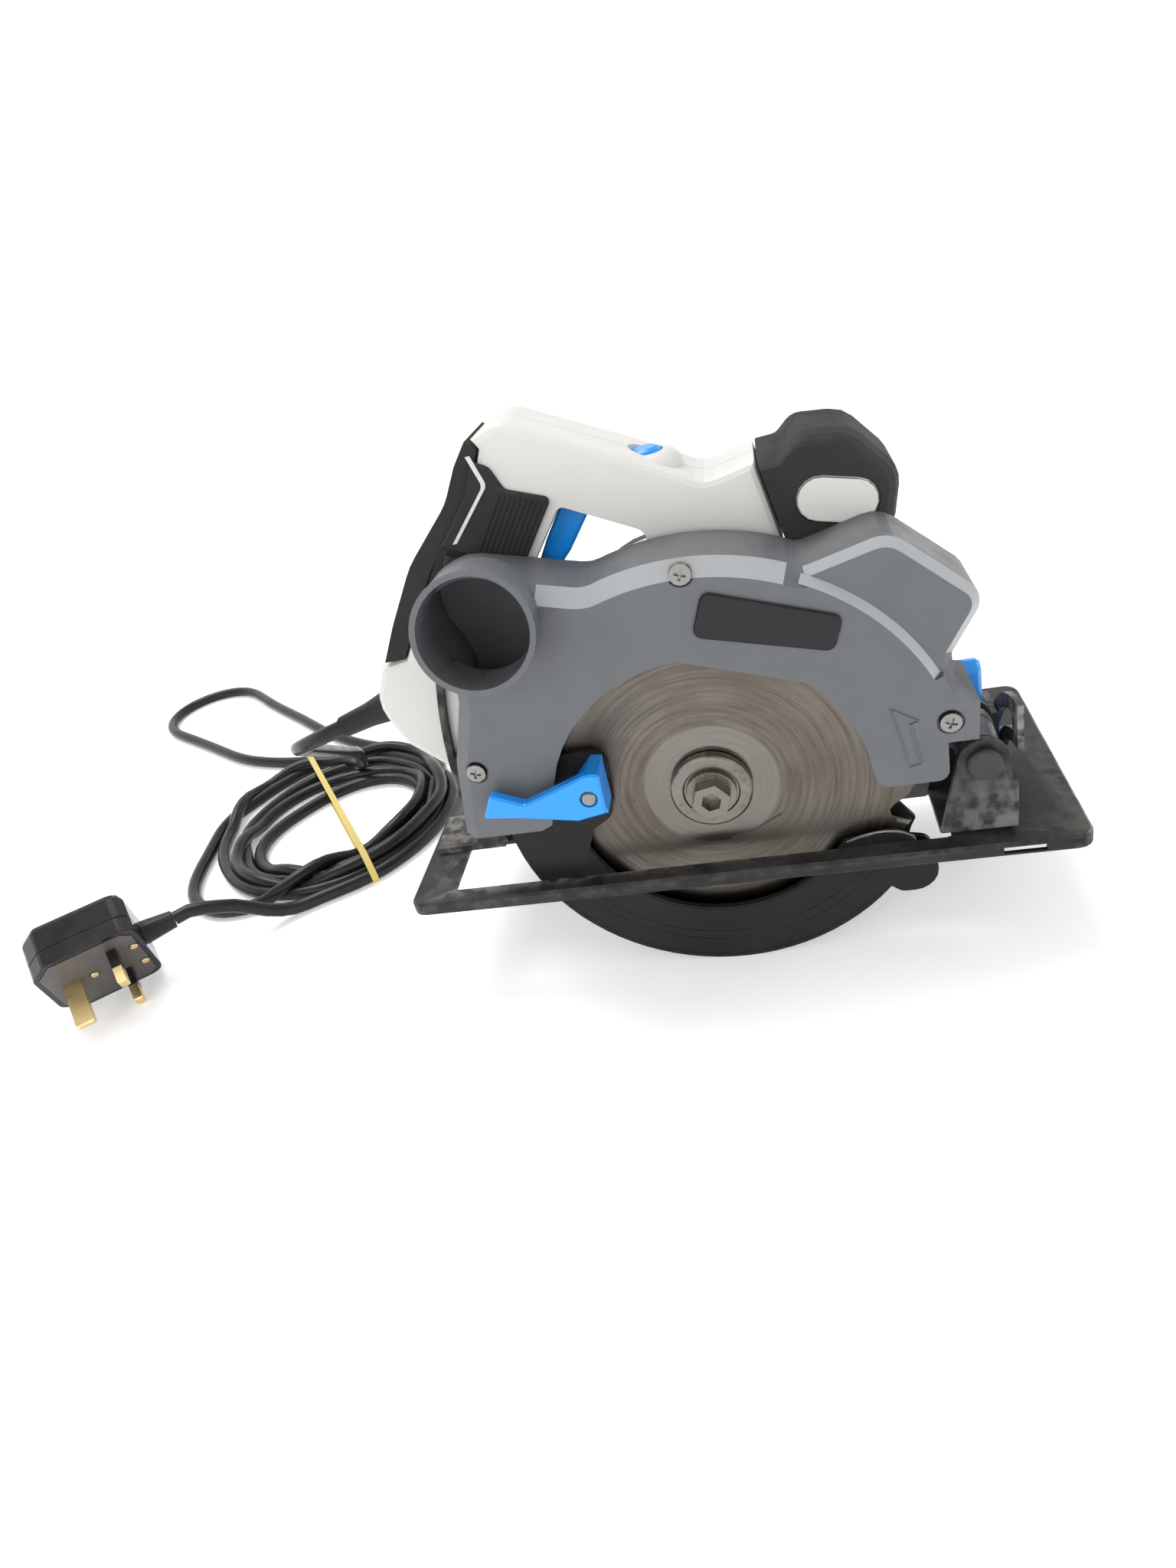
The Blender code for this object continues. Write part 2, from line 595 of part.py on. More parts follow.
# ---------------------------------------------------------------- spindle and blade
def blade_outline():
    """Hooked teeth that point the way the blade turns, up at the front."""
    step = 360.0 / TEETH
    shape = ((BLADE_R, 0.0), (BLADE_R - 1.6, -0.30), (BLADE_R - 3.2, -0.52), (BLADE_R - 7.6, -0.74),
             (BLADE_R - 8.6, -0.86), (BLADE_R - 7.4, -0.97))
    points = []
    for k in range(TEETH):
        for radius, part in reversed(shape):
            turn = math.radians(-2.0 + step * (k + part))
            points.append((radius * math.cos(turn), radius * math.sin(turn)))
    return points


def make_spindle():
    finish(lathe([(0.0, 12.0), (4.4, 12.0), (4.4, -0.5), (7.6, -0.5), (7.6, 7.0), (5.0, 7.0),
                  (5.0, 38.5), (0.0, 38.5)], steps=24), "spindle", STEEL, SPINDLE)
    blade = finish(prism(blade_outline(), -BLADE_HALF, BLADE_HALF), "blade", BLADE_STEEL, SPINDLE)
    cut(blade, rod(8.0, -5.0, 5.0, steps=28), "bore", SPINDLE)
    finish(lathe([(7.9, 1.0), (15.4, 1.0), (15.4, 3.4), (14.0, 5.0), (7.9, 5.0)], steps=28),
           "inner_flange", STEEL, SPINDLE)
    finish(lathe([(4.4, -1.0), (4.4, -4.2), (10.5, -4.2), (10.5, -5.0), (14.4, -5.0), (15.4, -4.2),
                  (15.4, -1.0)], steps=32), "outer_flange", STEEL, SPINDLE)
    across = 6.5 / math.cos(math.radians(30.0))
    hexagon = [(across * math.cos(math.radians(60.0 * k + 12.0)), across * math.sin(math.radians(60.0 * k + 12.0)))
               for k in range(6)]
    bolt = finish(prism(hexagon, -12.5, -6.3), "blade_bolt", STEEL, SPINDLE)
    join(bolt, rod(9.4, -6.6, -4.5, steps=28), "washer", SPINDLE)
    join(bolt, rod(4.0, -5.0, 11.0, steps=20), "shank", SPINDLE)
    key = [(0.5 * x, 0.5 * z) for x, z in hexagon]
    cut(bolt, prism(key, -20.0, -8.5), "socket", SPINDLE)
    gear = finish(prism(gear_outline(GEAR_TEETH, GEAR_MODULE, gear_phase()), 27.5, 35.0),
                  "output_gear", STEEL, SPINDLE)
    cut(gear, rod(5.3, 20.0, 45.0, steps=24), "bore", SPINDLE)


def gear_phase():
    """Puts one of the output gear's teeth on the line to the motor's axis."""
    return math.degrees(math.atan2(MOTOR[1], MOTOR[0]))


# ---------------------------------------------------------------- lower guard
LEVER_SCREW = (-42.0, 13.5)


def make_lower_guard():
    nose = turned([(61.3, -51.4), (65.0, -54.4, 4.0), (79.0, -54.4, 9.0), (78.6, -39.5, 5.0), (70.0, -37.5)])
    front = turned([(70.0, -37.5), (72.0, -31.0, 3.0), (64.0, -25.5, 8.0), (46.5, -28.5)])[1:]
    ear = turned([(-47.0, -9.5), (-38.0, -4.0, 6.0), (-35.5, 25.0, 7.0), (-58.0, 24.5)])[1:]
    window = arc((0.0, 0.0), 54.0, -32, -160, 18) + [(-47.0, -9.5)]
    outline = arc((0.0, 0.0), SWING_R, 163, 320, 36) + nose + front + window + ear
    shell = finish(prism(outline, SWING_NEAR, SWING_FAR), "lower_guard_shell", BLACK, SWING)
    flank = arc((0.0, 0.0), SWING_R - 1.2, 163, 338, 30) + [(60.0, -12.0), (26.0, -4.0)]
    flank += arc((0.0, 0.0), 24.0, 20, 150, 10) + [(-60.0, 30.0)]
    join(shell, prism(flank, SWING_FAR - FLANK, SWING_FAR), "far_flank", SWING)
    channel = arc((0.0, 0.0), SWING_R - FLANK, 120, 316, 40) + [(66.0, -49.0), (72.0, -47.5), (73.5, -43.0),
                                                                (90.0, -35.0), (90.0, 60.0)]
    cut(shell, prism(channel, SWING_NEAR + FLANK, SWING_FAR - FLANK - 0.02), "channel", SWING)
    cut(shell, rod(18.3, -5.0, 20.0, steps=32), "hub", SWING)
    cut(shell, rod(2.0, -10.0, 0.0, LEVER_SCREW, steps=16), "screw_hole", SWING)


def make_guard_lever():
    arm = [(-36.8, 6.5), (-36.4, 23.0), (-41.0, 23.6), (-52.0, 19.5), (-66.0, 14.5), (-78.0, 20.0),
           (-82.8, 10.5), (-69.5, 8.8), (-48.0, 4.5)]
    foot = [(-37.0, 4.5), (-36.8, 23.0), (-41.0, 23.4), (-49.5, 14.0), (-48.0, 5.0)]
    lever = finish(rounded(prism(list(reversed(arm)), -21.5, -16.6), 0.8, 1), "guard_lever", BLUE, SWING)
    join(lever, prism(list(reversed(foot)), -17.5, SWING_NEAR - GAP), "foot", SWING)
    cut(lever, rod(1.9, -30.0, 0.0, LEVER_SCREW, steps=16), "screw_hole", SWING)
    cut(lever, rod(3.4, -30.0, -20.5, LEVER_SCREW, steps=20), "sink", SWING)
    profile = [(0.0, -21.9), (2.4, -21.7), (3.0, -21.0), (3.0, -20.8), (1.6, -20.8), (1.6, -4.2), (0.0, -4.2)]
    finish(lathe(profile, LEVER_SCREW, steps=16), "guard_lever_screw", STEEL, SWING)


def make_guard_spring():
    curve = bpy.data.curves.new("guard_spring", "CURVE")
    curve.dimensions = "3D"
    curve.bevel_depth = 0.7 * MM
    curve.bevel_resolution = 1
    curve.use_fill_caps = True
    spline = curve.splines.new("POLY")
    turns, steps = 2.0, 32
    spline.points.add(steps)
    for k, point in enumerate(spline.points):
        angle = 2 * math.pi * turns * k / steps
        along = 10.3 + 1.8 * turns * k / steps
        point.co = (22.0 * math.cos(angle) * MM, along * MM, 22.0 * math.sin(angle) * MM, 1.0)
    curve.materials.append(STEEL)
    obj = bpy.data.objects.new("guard_spring", curve)
    bpy.context.collection.objects.link(obj)
    obj.parent = ROOT


# ---------------------------------------------------------------- handle
GRIP_BACK = [(-64.0, 134.5), (-70.0, 127.0, 12.0), (-77.0, 115.0, 25.0), (-97.0, 95.5, 40.0),
             (-111.0, 74.0, 60.0), (-119.0, 60.0)]
GRIP_SEAT = [(-60.0, 131.0), (-66.0, 118.0), (-78.0, 104.0), (-89.0, 92.0), (-99.0, 78.0), (-110.0, 60.0)]


def handle_outline():
    """The clamshell's side view, with the rubber's seat cut out of its back."""
    top = turned([(31.0, 109.5), (13.5, 105.5, 10.0), (-9.0, 118.0, 60.0), (-51.0, 138.6, 9.0), (-62.0, 134.5)])
    boot = turned([(-121.0, 58.0), (-128.6, 43.0, 16.0), (-122.0, 24.0, 10.0), (-97.0, 0.5, 9.0),
                   (-72.0, 8.0, 15.0), (-48.0, 4.0, 12.0), (28.0, 52.0, 12.0), (37.5, 80.0)])
    return top + GRIP_SEAT + boot


HAND_GAP = turned([(-37.0, 107.2, 2.5), (-62.0, 73.5, 4.0), (-9.0, 73.5, 4.0), (-9.0, 93.0, 5.0)])


def make_handle():
    for name, low, high, joint in (("handle_near", HANDLE_Y[0], HANDLE_Y[1] - GAP / 2, 1),
                                   ("handle_far", HANDLE_Y[1] + GAP / 2, HANDLE_Y[2], 0)):
        outer = low if joint else high

        def outside(edge, face=outer):
            return all(abs(v.co.y - face) < 0.01 for v in edge.verts)

        bm = rounded(prism(handle_outline(), low, high), 4.0, 2, keep=outside)
        half = finish(bm, name, WHITE)
        cut(half, prism(HAND_GAP, low - 5.0, high + 5.0), "hand_gap")
        inner = (low + WALL, high + 5.0) if joint else (low - 5.0, high - WALL)
        column = [(-44.0, 125.0), (-58.0, 126.0), (-63.0, 116.0), (-96.0, 77.0), (-106.0, 60.0), (-72.0, 60.0),
                  (-66.0, 76.5), (-41.0, 106.0)]
        cut(half, prism(column, *inner), "column_room")
        boot = [(-100.0, 61.0), (-116.0, 54.0), (-119.5, 44.0), (-118.0, 34.0), (-108.0, 24.0), (-72.0, 22.0),
                (-72.0, 61.0)]
        cut(half, prism(boot, *inner), "boot_room")
        bar = [(-44.5, 124.0), (-10.0, 110.0), (10.0, 100.5), (27.0, 102.0), (32.0, 84.0), (0.0, 84.0),
               (-6.0, 97.0), (-26.0, 108.0), (-42.0, 109.0)]
        cut(half, prism(bar, *inner), "bar_room")
        if joint:
            cut(half, prism(gear_case_hull(0.5), 15.0, 45.0), "gear_case_seat")
        else:
            cut(half, rod(MOTOR_R + 0.5, 40.1, 60.0, MOTOR, steps=40), "motor_seat")
            cut(half, prism(gear_case_hull(0.5), 30.0, 40.6), "gear_case_seat")
        slot = [(-28.0, 112.0), (-40.0, 112.0), (-62.0, 84.0), (-50.0, 74.0), (-24.0, 100.0)]
        cut(half, prism(slot, 29.5, 46.5), "trigger_slot")
        cut(half, rod(6.2, 90.0, 130.0, (-5.4, 38.0), "Z", steps=24), "button_hole")
        cut(half, along_relief(rod(5.4, -10.0, 17.0, axis="X", steps=20)), "cord_hole")
        cut(half, rod(3.2, 10.0, 60.0, LOCK_AT, steps=16), "lock_bolt_hole")
        cut(half, rod(1.9, 25.0, 60.0, HANDLE_SCREW, steps=12), "screw_hole")
        if not joint:
            cut(half, rod(3.9, 51.0, 60.0, HANDLE_SCREW, steps=16), "screw_sink")


HANDLE_SCREW = (-52.0, 131.0)


def make_handle_screw():
    profile = [(0.0, 26.0), (1.6, 26.0), (1.6, 51.3), (3.5, 51.3), (3.4, 53.0), (0.0, 53.6)]
    finish(lathe(profile, HANDLE_SCREW, steps=16), "handle_screw", STEEL)


def make_grips():
    back = turned(GRIP_BACK)
    seat = [(x - 0.35, z + 0.25) for x, z in reversed(GRIP_SEAT)]
    grip = prism(list(reversed(back)) + list(reversed(seat)), HANDLE_Y[0] + 0.5, HANDLE_Y[2] - 0.5)
    finish(rounded(grip, 3.0, 2, keep=lambda e: all(v.co.x < -64.0 for v in e.verts)
                   and abs(e.verts[0].co.y - e.verts[1].co.y) < 0.01), "rear_grip", RUBBER)
    pad = turned([(-63.0, 128.0), (-67.5, 118.0), (-79.5, 104.0), (-82.5, 101.4), (-68.4, 94.2), (-62.5, 84.0),
                  (-57.6, 84.0), (-38.5, 110.8, 2.0), (-54.0, 116.6, 3.0), (-57.5, 125.0, 4.0)])
    bm = prism(pad, HANDLE_Y[0] - 2.0, HANDLE_Y[0] - GAP)
    finish(rounded(bm, 0.6, 1, keep=lambda e: all(v.co.y < HANDLE_Y[0] - 1.9 for v in e.verts)),
           "grip_pad", RUBBER)


# The front knob's sections: how deep each lies, and how wide it is
KNOB_SECTIONS = ((19.0, 0.84), (20.0, 0.90), (22.5, 0.96), (27.0, 1.0), (54.0, 1.0), (58.5, 0.96),
                 (61.0, 0.89), (62.0, 0.80))


def make_knob():
    outline = turned([(31.8, 109.0), (39.5, 109.5, 4.0), (46.0, 115.6, 7.0), (63.0, 114.0, 12.0),
                      (78.0, 97.0, 11.0), (74.5, 77.0, 10.0), (61.0, 70.6, 8.0), (47.0, 70.4, 7.0),
                      (38.3, 80.0)])
    root = (36.0, 95.0)
    bm = bmesh.new()
    loops = []
    for y, scale in KNOB_SECTIONS:
        loops.append([bm.verts.new((root[0] + (x - root[0]) * scale, y, root[1] + (z - root[1]) * scale))
                      for x, z in outline])
    bm.faces.new(loops[0])
    bm.faces.new(list(reversed(loops[-1])))
    for near, far in zip(loops, loops[1:]):
        for i, vert in enumerate(near):
            bm.faces.new((near[i - 1], far[i - 1], far[i], vert))
    knob = finish(bm, "front_knob", RUBBER)
    start, end = (50.5, 94.0), (62.0, 91.2)
    cap = prism(slot_outline(start, end, 7.7, 8), 18.2, 21.0)
    finish(rounded(cap, 0.6, 1, keep=lambda e: all(v.co.y < 18.3 for v in e.verts)), "knob_cap", WHITE)
    cut(knob, prism(slot_outline(start, end, 8.0, 8), 14.0, 21.3), "cap_seat")


def make_controls():
    trigger = [(-31.0, 103.5), (-28.5, 101.0), (-38.0, 88.5), (-44.0, 82.5), (-52.0, 84.0), (-46.0, 94.0),
               (-38.0, 105.5), (-37.5, 110.5), (-33.5, 110.5)]
    finish(rounded(prism(list(reversed(trigger)), 30.0, 46.0), 1.2, 2), "trigger", BLUE, TRIGGER)
    profile = [(0.0, 117.6), (3.8, 117.6), (5.0, 116.8), (5.6, 115.4), (5.6, 110.0), (0.0, 110.0)]
    finish(lathe(list(reversed(profile)), (LOCK_OFF["at"][0], LOCK_OFF["at"][1]), "Z", steps=24),
           "lock_off_button", BLUE, LOCK_OFF)
    finish(rounded(block((20.0, 34.0), (36.3, 39.3), (11.0, 17.0)), 0.8, 1), "arbor_lock_button", BLACK,
           ARBOR_LOCK)


def make_switch():
    finish(rounded(block((-82.5, -70.5), (28.0, 48.0), (68.0, 88.0)), 0.8, 1), "switch_body", BLACK)


# ---------------------------------------------------------------- sole and its settings
def make_front_bracket():
    cheek_outline = arc(PIVOT, 9.0, 0, 180, 12) + [(80.0, -27.4), (106.0, -27.4)]
    front_wall = [(-9.0, -27.4), (48.0, -27.4), (48.0, -6.0), (40.0, 2.0), (22.0, 2.0), (20.0, -8.0),
                  (-9.0, -8.0)]
    bracket = finish(prism(front_wall, 104.0, 106.4, "X"), "front_bracket", SOLE_PAINT, DEPTH)
    join(bracket, prism(cheek_outline, -9.0, -6.4), "near_cheek", DEPTH)
    join(bracket, prism(cheek_outline, 20.4, 23.0), "far_cheek", DEPTH)
    join(bracket, block((80.0, 106.0), (-5.5, 48.0), (-29.6, -27.0)), "base", DEPTH)
    cut(bracket, rod(4.3, -20.0, 40.0, PIVOT, steps=24), "pin_hole", DEPTH)
    cut(bracket, rod(3.2, 95.0, 115.0, (30.0, -12.0), "X", steps=20), "lock_hole", DEPTH)
    profile = [(0.0, -12.0), (5.2, -12.0), (6.0, -11.2), (6.0, -9.3), (4.0, -9.3), (4.0, 23.6), (0.0, 23.6)]
    finish(lathe(profile, PIVOT, steps=24), "depth_pivot_pin", STEEL, DEPTH)


def make_depth_guide():
    low_angle, high_angle = 180.0 + 8.6, 180.0 - 29.0
    plate = band(PIVOT, GUIDE_R[0], GUIDE_R[1], low_angle, high_angle, 20)
    guide = finish(prism(plate, *GUIDE_Y), "depth_guide", SOLE_PAINT, DEPTH)
    middle = sum(GUIDE_R) / 2
    track = band(PIVOT, middle - 3.3, middle + 3.3, 180.0 - LOCK_ANGLE + 1.2, high_angle + 1.6, 20)
    cut(guide, prism(track, GUIDE_Y[0] - 5.0, GUIDE_Y[1] + 5.0), "track", DEPTH)
    join(guide, block((-124.0, -93.0), (GUIDE_Y[0], 44.0), (-29.6, -27.0)), "foot", DEPTH)


def rounded_rectangle(x, y, radius, steps=4):
    points = []
    for cx, cy, start in ((x[1] - radius, y[1] - radius, 0), (x[0] + radius, y[1] - radius, 90),
                          (x[0] + radius, y[0] + radius, 180), (x[1] - radius, y[0] + radius, 270)):
        points += arc((cx, cy), radius, start, start + 90, steps)
    return points


def make_sole():
    outline = rounded_rectangle(SOLE_X, SOLE_Y, 6.0)
    inner = rounded_rectangle((SOLE_X[0] + SHEET, SOLE_X[1] - SHEET),
                              (SOLE_Y[0] + SHEET, SOLE_Y[1] - SHEET), 4.2)
    bottom = SOLE_TOP - SOLE_LIP
    bm = rounded(prism(outline, bottom, SOLE_TOP, "Z"), 1.0, 1,
                 keep=lambda e: all(abs(v.co.z - SOLE_TOP) < 0.01 for v in e.verts))
    sole = finish(bm, "sole_plate", SOLE_PAINT, BEVEL)
    cut(sole, prism(inner, bottom - 5.0, SOLE_TOP - SHEET, "Z"), "tray", BEVEL)
    cut(sole, prism(rounded_rectangle(SLOT_X, SLOT_Y, 2.0, 2), -50.0, -20.0, "Z"), "blade_slot", BEVEL)
    cut(sole, prism(slot_outline((114.0, 72.0), (114.0, 86.0), 2.6), -50.0, -20.0, "Z"), "guide_slot", BEVEL)
    for label, y in (("near", SOLE_Y[0]), ("far", SOLE_Y[1])):
        cut(sole, block((100.0, 114.5), (y - 5.0, y + 5.0), (SOLE_TOP - 4.4, SOLE_TOP - SHEET)), label, BEVEL)
    foot = (22.0, 50.0)
    quadrant = [(foot[1], SOLE_TOP + 0.01)] + arc(BEVEL_AXIS, 50.0, 22, 88, 12)
    quadrant += arc(BEVEL_AXIS, 33.0, 88, 30, 8) + [(foot[0], SOLE_TOP + 0.01)]
    base = [(foot[0], SOLE_TOP - 1.0), (foot[1], SOLE_TOP - 1.0)]
    join(sole, prism(base + quadrant, 106.8, 109.0, "X"), "quadrant", BEVEL)
    reach = math.hypot(30.0 - BEVEL_AXIS[0], -12.0 - BEVEL_AXIS[1])
    at = math.degrees(math.atan2(-12.0 - BEVEL_AXIS[1], 30.0 - BEVEL_AXIS[0]))
    track = band(BEVEL_AXIS, reach - 3.3, reach + 3.3, at - 5.0, at + 50.0, 14)
    cut(sole, prism(track, 100.0, 115.0, "X"), "bevel_track", BEVEL)


def make_lock_levers():
    """Each lever turns on its bolt, which clamps the slotted plate."""
    arm = [(26.0, -16.0), (34.0, -16.0), (36.0, -8.0), (34.5, 4.0), (34.0, 19.0), (31.0, 22.0), (26.5, 19.0),
           (25.0, 2.0), (24.0, -8.0)]
    lever = finish(rounded(prism(arm, 92.5, 102.0, "X"), 1.5, 1), "bevel_lock_lever", BLUE, BEVEL_LOCK)
    join(lever, rod(2.8, 98.0, 112.5, (30.0, -12.0), "X", steps=20), "bolt", BEVEL_LOCK)
    x, z = LOCK_AT
    arm = [(x - 6.0, z - 6.0), (x + 6.0, z - 6.0), (x + 7.0, z + 2.0), (x + 4.0, z + 36.0),
           (x - 3.0, z + 38.0), (x - 7.0, z + 2.0)]
    lever = finish(rounded(prism(arm, HANDLE_Y[2] + GAP, HANDLE_Y[2] + 7.5), 1.2, 1), "depth_lock_lever",
                   BLACK, DEPTH_LOCK)
    join(lever, rod(2.8, 15.0, HANDLE_Y[2] + 2.0, LOCK_AT, steps=20), "bolt", DEPTH_LOCK)
    join(lever, rod(4.4, 14.0, GUIDE_Y[0] - GAP, LOCK_AT, steps=20), "bolt_head", DEPTH_LOCK)


# ---------------------------------------------------------------- cord and plug
def relief_point(along):
    """A point on the strain relief's axis, from the housing's face outwards."""
    slope = math.radians(RELIEF_DROP)
    return (RELIEF_AT[0] - along * math.cos(slope), RELIEF_AT[1], RELIEF_AT[2] - along * math.sin(slope))


def along_relief(bm):
    """Moves a mesh built about -X at the zero onto the strain relief's axis."""
    turn = Matrix.Rotation(math.radians(-RELIEF_DROP), 4, "Y")
    bmesh.ops.transform(bm, matrix=Matrix.Translation(RELIEF_AT) @ turn, verts=bm.verts)
    return bm


def make_strain_relief():
    profile = [(0.0, -RELIEF_LENGTH), (4.6, -RELIEF_LENGTH), (5.2, -14.0), (6.6, -4.0), (7.6, -1.2), (5.0, -1.2),
               (5.0, 12.0), (0.0, 12.0)]
    finish(along_relief(lathe(profile, axis="X", steps=20)), "strain_relief", BLACK)


def on_ellipse(ellipse, angle, grow=0.0):
    """A point on an ellipse in plan, at an angle from its long axis."""
    x, y, half_long, half_wide, turned = ellipse
    turn = math.radians(turned)
    u = (half_long + grow) * math.cos(math.radians(angle))
    v = (half_wide + grow) * math.sin(math.radians(angle))
    return x + u * math.cos(turn) - v * math.sin(turn), y + u * math.sin(turn) + v * math.cos(turn)


def make_hank():
    outer = [on_ellipse(HANK, 9.0 * k) for k in range(40)]
    inner = [on_ellipse(HANK_HOLE, 15.0 * k) for k in range(24)]
    hank = finish(rounded(prism(outer, *HANK_Z, "Z"), 3.0, 1), "cord_hank", PVC)
    cut(hank, prism(inner, HANK_Z[0] - 5.0, HANK_Z[1] + 5.0, "Z"), "hole")


def make_rubber_band():
    """A flat loop round the hank, straight across its hole."""
    thick, half_width = 1.0, 1.6
    reach = BAND_REACH
    low, high = HANK_Z[0] - GAP, HANK_Z[1] + GAP

    def loop(grow):
        return rounded_rectangle((-reach - grow, reach + grow), (low - grow, high + grow), 1.0 + grow, 3)

    bm = bmesh.new()
    rings = []
    for grow, y in ((0.0, -half_width), (thick, -half_width), (thick, half_width), (0.0, half_width)):
        rings.append([bm.verts.new((x, y, z)) for x, z in loop(grow)])
    for k, ring in enumerate(rings):
        other = rings[(k + 1) % 4]
        for i in range(len(ring)):
            j = (i + 1) % len(ring)
            bm.faces.new((ring[i], ring[j], other[j], other[i]))
    turn = Matrix.Rotation(math.radians(BAND_TURN), 4, "Z")
    bmesh.ops.transform(bm, matrix=Matrix.Translation((*BAND_AT, 0.0)) @ turn, verts=bm.verts)
    finish(bm, "rubber_band", LATEX)


ON_HANK = HANK_Z[1] + CORD_D / 2 + 2.0
LEAD_ROUTE = [relief_point(RELIEF_LENGTH + CORD_GAP), relief_point(RELIEF_LENGTH + 12.0),
              (-181.0, 45.0, 18.0), (-194.0, 66.0, 7.0), (-204.0, 98.0, -11.0), (-214.0, 138.0, -34.0),
              (-221.0, 170.0, -51.0), (-227.0, 194.0, ON_HANK), (-238.0, 206.0, ON_HANK)]
LOOP_ROUTE = [(*on_ellipse(HANK, 8.0, 4.5), LAY), (-276.0, 246.0, LAY), (-304.0, 274.0, LAY),
              (-342.0, 308.0, LAY), (-382.0, 340.0, LAY), (-414.0, 358.0, LAY), (-436.0, 352.0, LAY),
              (-440.0, 328.0, LAY), (-424.0, 304.0, LAY), (-394.0, 280.0, LAY), (-360.0, 252.0, LAY),
              (-326.0, 232.0, LAY), (*on_ellipse(HANK, 34.0, 4.5), LAY)]


def plug_matrix():
    """Takes the plug's own frame, whose -Z its pins point along, to where it lies."""
    lean = Matrix.Rotation(math.radians(PLUG_TURN[0]), 4, "X")
    return Matrix.Translation(PLUG_AT) @ Matrix.Rotation(math.radians(PLUG_TURN[2]), 4, "Z") @ lean


def plug_point(x, y, z):
    return tuple(plug_matrix() @ Vector((x, y, z)))


PLUG_BACK, PLUG_JOINT = 22.0, 8.0
SLEEVE_END, SLEEVE_Z = 37.0, 9.0
TAIL_ROUTE = [plug_point(SLEEVE_END + CORD_GAP, 0.0, SLEEVE_Z), plug_point(SLEEVE_END + 10.0, 0.0, SLEEVE_Z),
              (-247.0, 40.0, -60.0), (-232.0, 50.0, -70.0), (-216.0, 61.0, LAY),
              (*on_ellipse(HANK, 189.0, 6.0), LAY)]


def in_plug(bm):
    bmesh.ops.transform(bm, matrix=plug_matrix(), verts=bm.verts)
    return bm


PLUG_OUTLINE = turned([(22.0, -25.0, 6.0), (22.0, 25.0, 6.0), (-17.0, 25.0, 4.0), (-25.0, 16.0, 5.0),
                       (-25.0, -16.0, 5.0), (-17.0, -25.0, 4.0)], 30.0)
PINS = {"earth_pin": (-13.5, 0.0, 8.0, 4.0, 22.7), "live_pin": (8.7, -11.1, 4.0, 6.35, 17.7),
        "neutral_pin": (8.7, 11.1, 4.0, 6.35, 17.7)}


def pin_bar(x, y, wide_x, wide_y, low, high):
    return block((x - wide_x / 2, x + wide_x / 2), (y - wide_y / 2, y + wide_y / 2), (low, high))


def make_plug():
    base = finish(in_plug(prism(PLUG_OUTLINE, 0.0, PLUG_JOINT, "Z")), "plug_base", BLACK)
    cover = prism(PLUG_OUTLINE, PLUG_JOINT + GAP, PLUG_BACK, "Z")
    rounded(cover, 3.0, 2, keep=lambda e: all(v.co.z > PLUG_BACK - 0.1 for v in e.verts))
    finish(in_plug(cover), "plug_cover", BLACK)
    for name, (x, y, wide_x, wide_y, length) in PINS.items():
        bar = pin_bar(x, y, wide_x, wide_y, -length, 4.0)
        pin = rounded(bar, 0.7, 1, keep=lambda e: all(v.co.z < 0.0 for v in e.verts))
        finish(in_plug(pin), name, BRASS)
        hole = pin_bar(x, y, wide_x + 2 * GAP, wide_y + 2 * GAP, -5.0, 4.0 + GAP)
        cut(base, in_plug(hole), name)
    profile = [(0.0, SLEEVE_END), (4.4, SLEEVE_END), (6.0, 22.0 + GAP), (0.0, 22.0 + GAP)]
    sleeve = lathe(profile, (0.0, SLEEVE_Z), "X", steps=20)
    finish(in_plug(sleeve), "plug_sleeve", BLACK)


def make_cord():
    cord("cord_lead", LEAD_ROUTE, CORD_D, 12.0)
    cord("cord_loop", LOOP_ROUTE, CORD_D, 18.0)
    cord("cord_tail", TAIL_ROUTE, CORD_D, 12.0)
    make_hank()
    make_rubber_band()
    make_plug()


def main():
    make_guard_cover()
    make_guard_screws()
    make_label_plate()
    make_guard_back()
    make_gear_case()
    make_bearing("spindle_bearing", 13.0, 5.3, 15.0, 23.0, (0.0, 0.0))
    make_bearing("armature_bearing_front", 11.1, 4.3, 40.6, 47.6, MOTOR)
    make_bearing("armature_bearing_rear", 11.1, 4.3, 101.5, 108.5, MOTOR)
    make_motor_housing()
    make_motor_end_cap()
    make_stator()
    make_brushes()
    make_armature()
    make_spindle()
    make_lower_guard()
    make_guard_lever()
    make_guard_spring()
    make_handle()
    make_handle_screw()
    make_grips()
    make_knob()
    make_controls()
    make_switch()
    make_strain_relief()
    make_front_bracket()
    make_depth_guide()
    make_sole()
    make_lock_levers()
    make_cord()


main()
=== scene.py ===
"""The looks of the compact corded circular saw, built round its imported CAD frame.

Lengths are written in millimetres in the saw's own frame: its zero is the blade's
centre, +X is forward, +Y is the motor side and +Z is up. at() turns such a point
into the scene's metres, and the helpers that build pieces take the same points.
"""
import math

import bmesh
import bpy
import numpy as np
from mathutils import Matrix, Vector


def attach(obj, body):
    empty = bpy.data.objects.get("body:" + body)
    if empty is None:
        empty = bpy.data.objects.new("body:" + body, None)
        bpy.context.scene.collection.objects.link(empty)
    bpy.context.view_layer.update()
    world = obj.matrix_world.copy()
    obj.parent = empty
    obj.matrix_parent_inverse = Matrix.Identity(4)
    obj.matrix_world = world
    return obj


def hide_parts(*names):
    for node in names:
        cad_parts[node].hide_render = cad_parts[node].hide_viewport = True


MM = 0.001
AXIS = Vector((-1.5, -41.0, 80.0))     # the blade's centre in the scene, mm

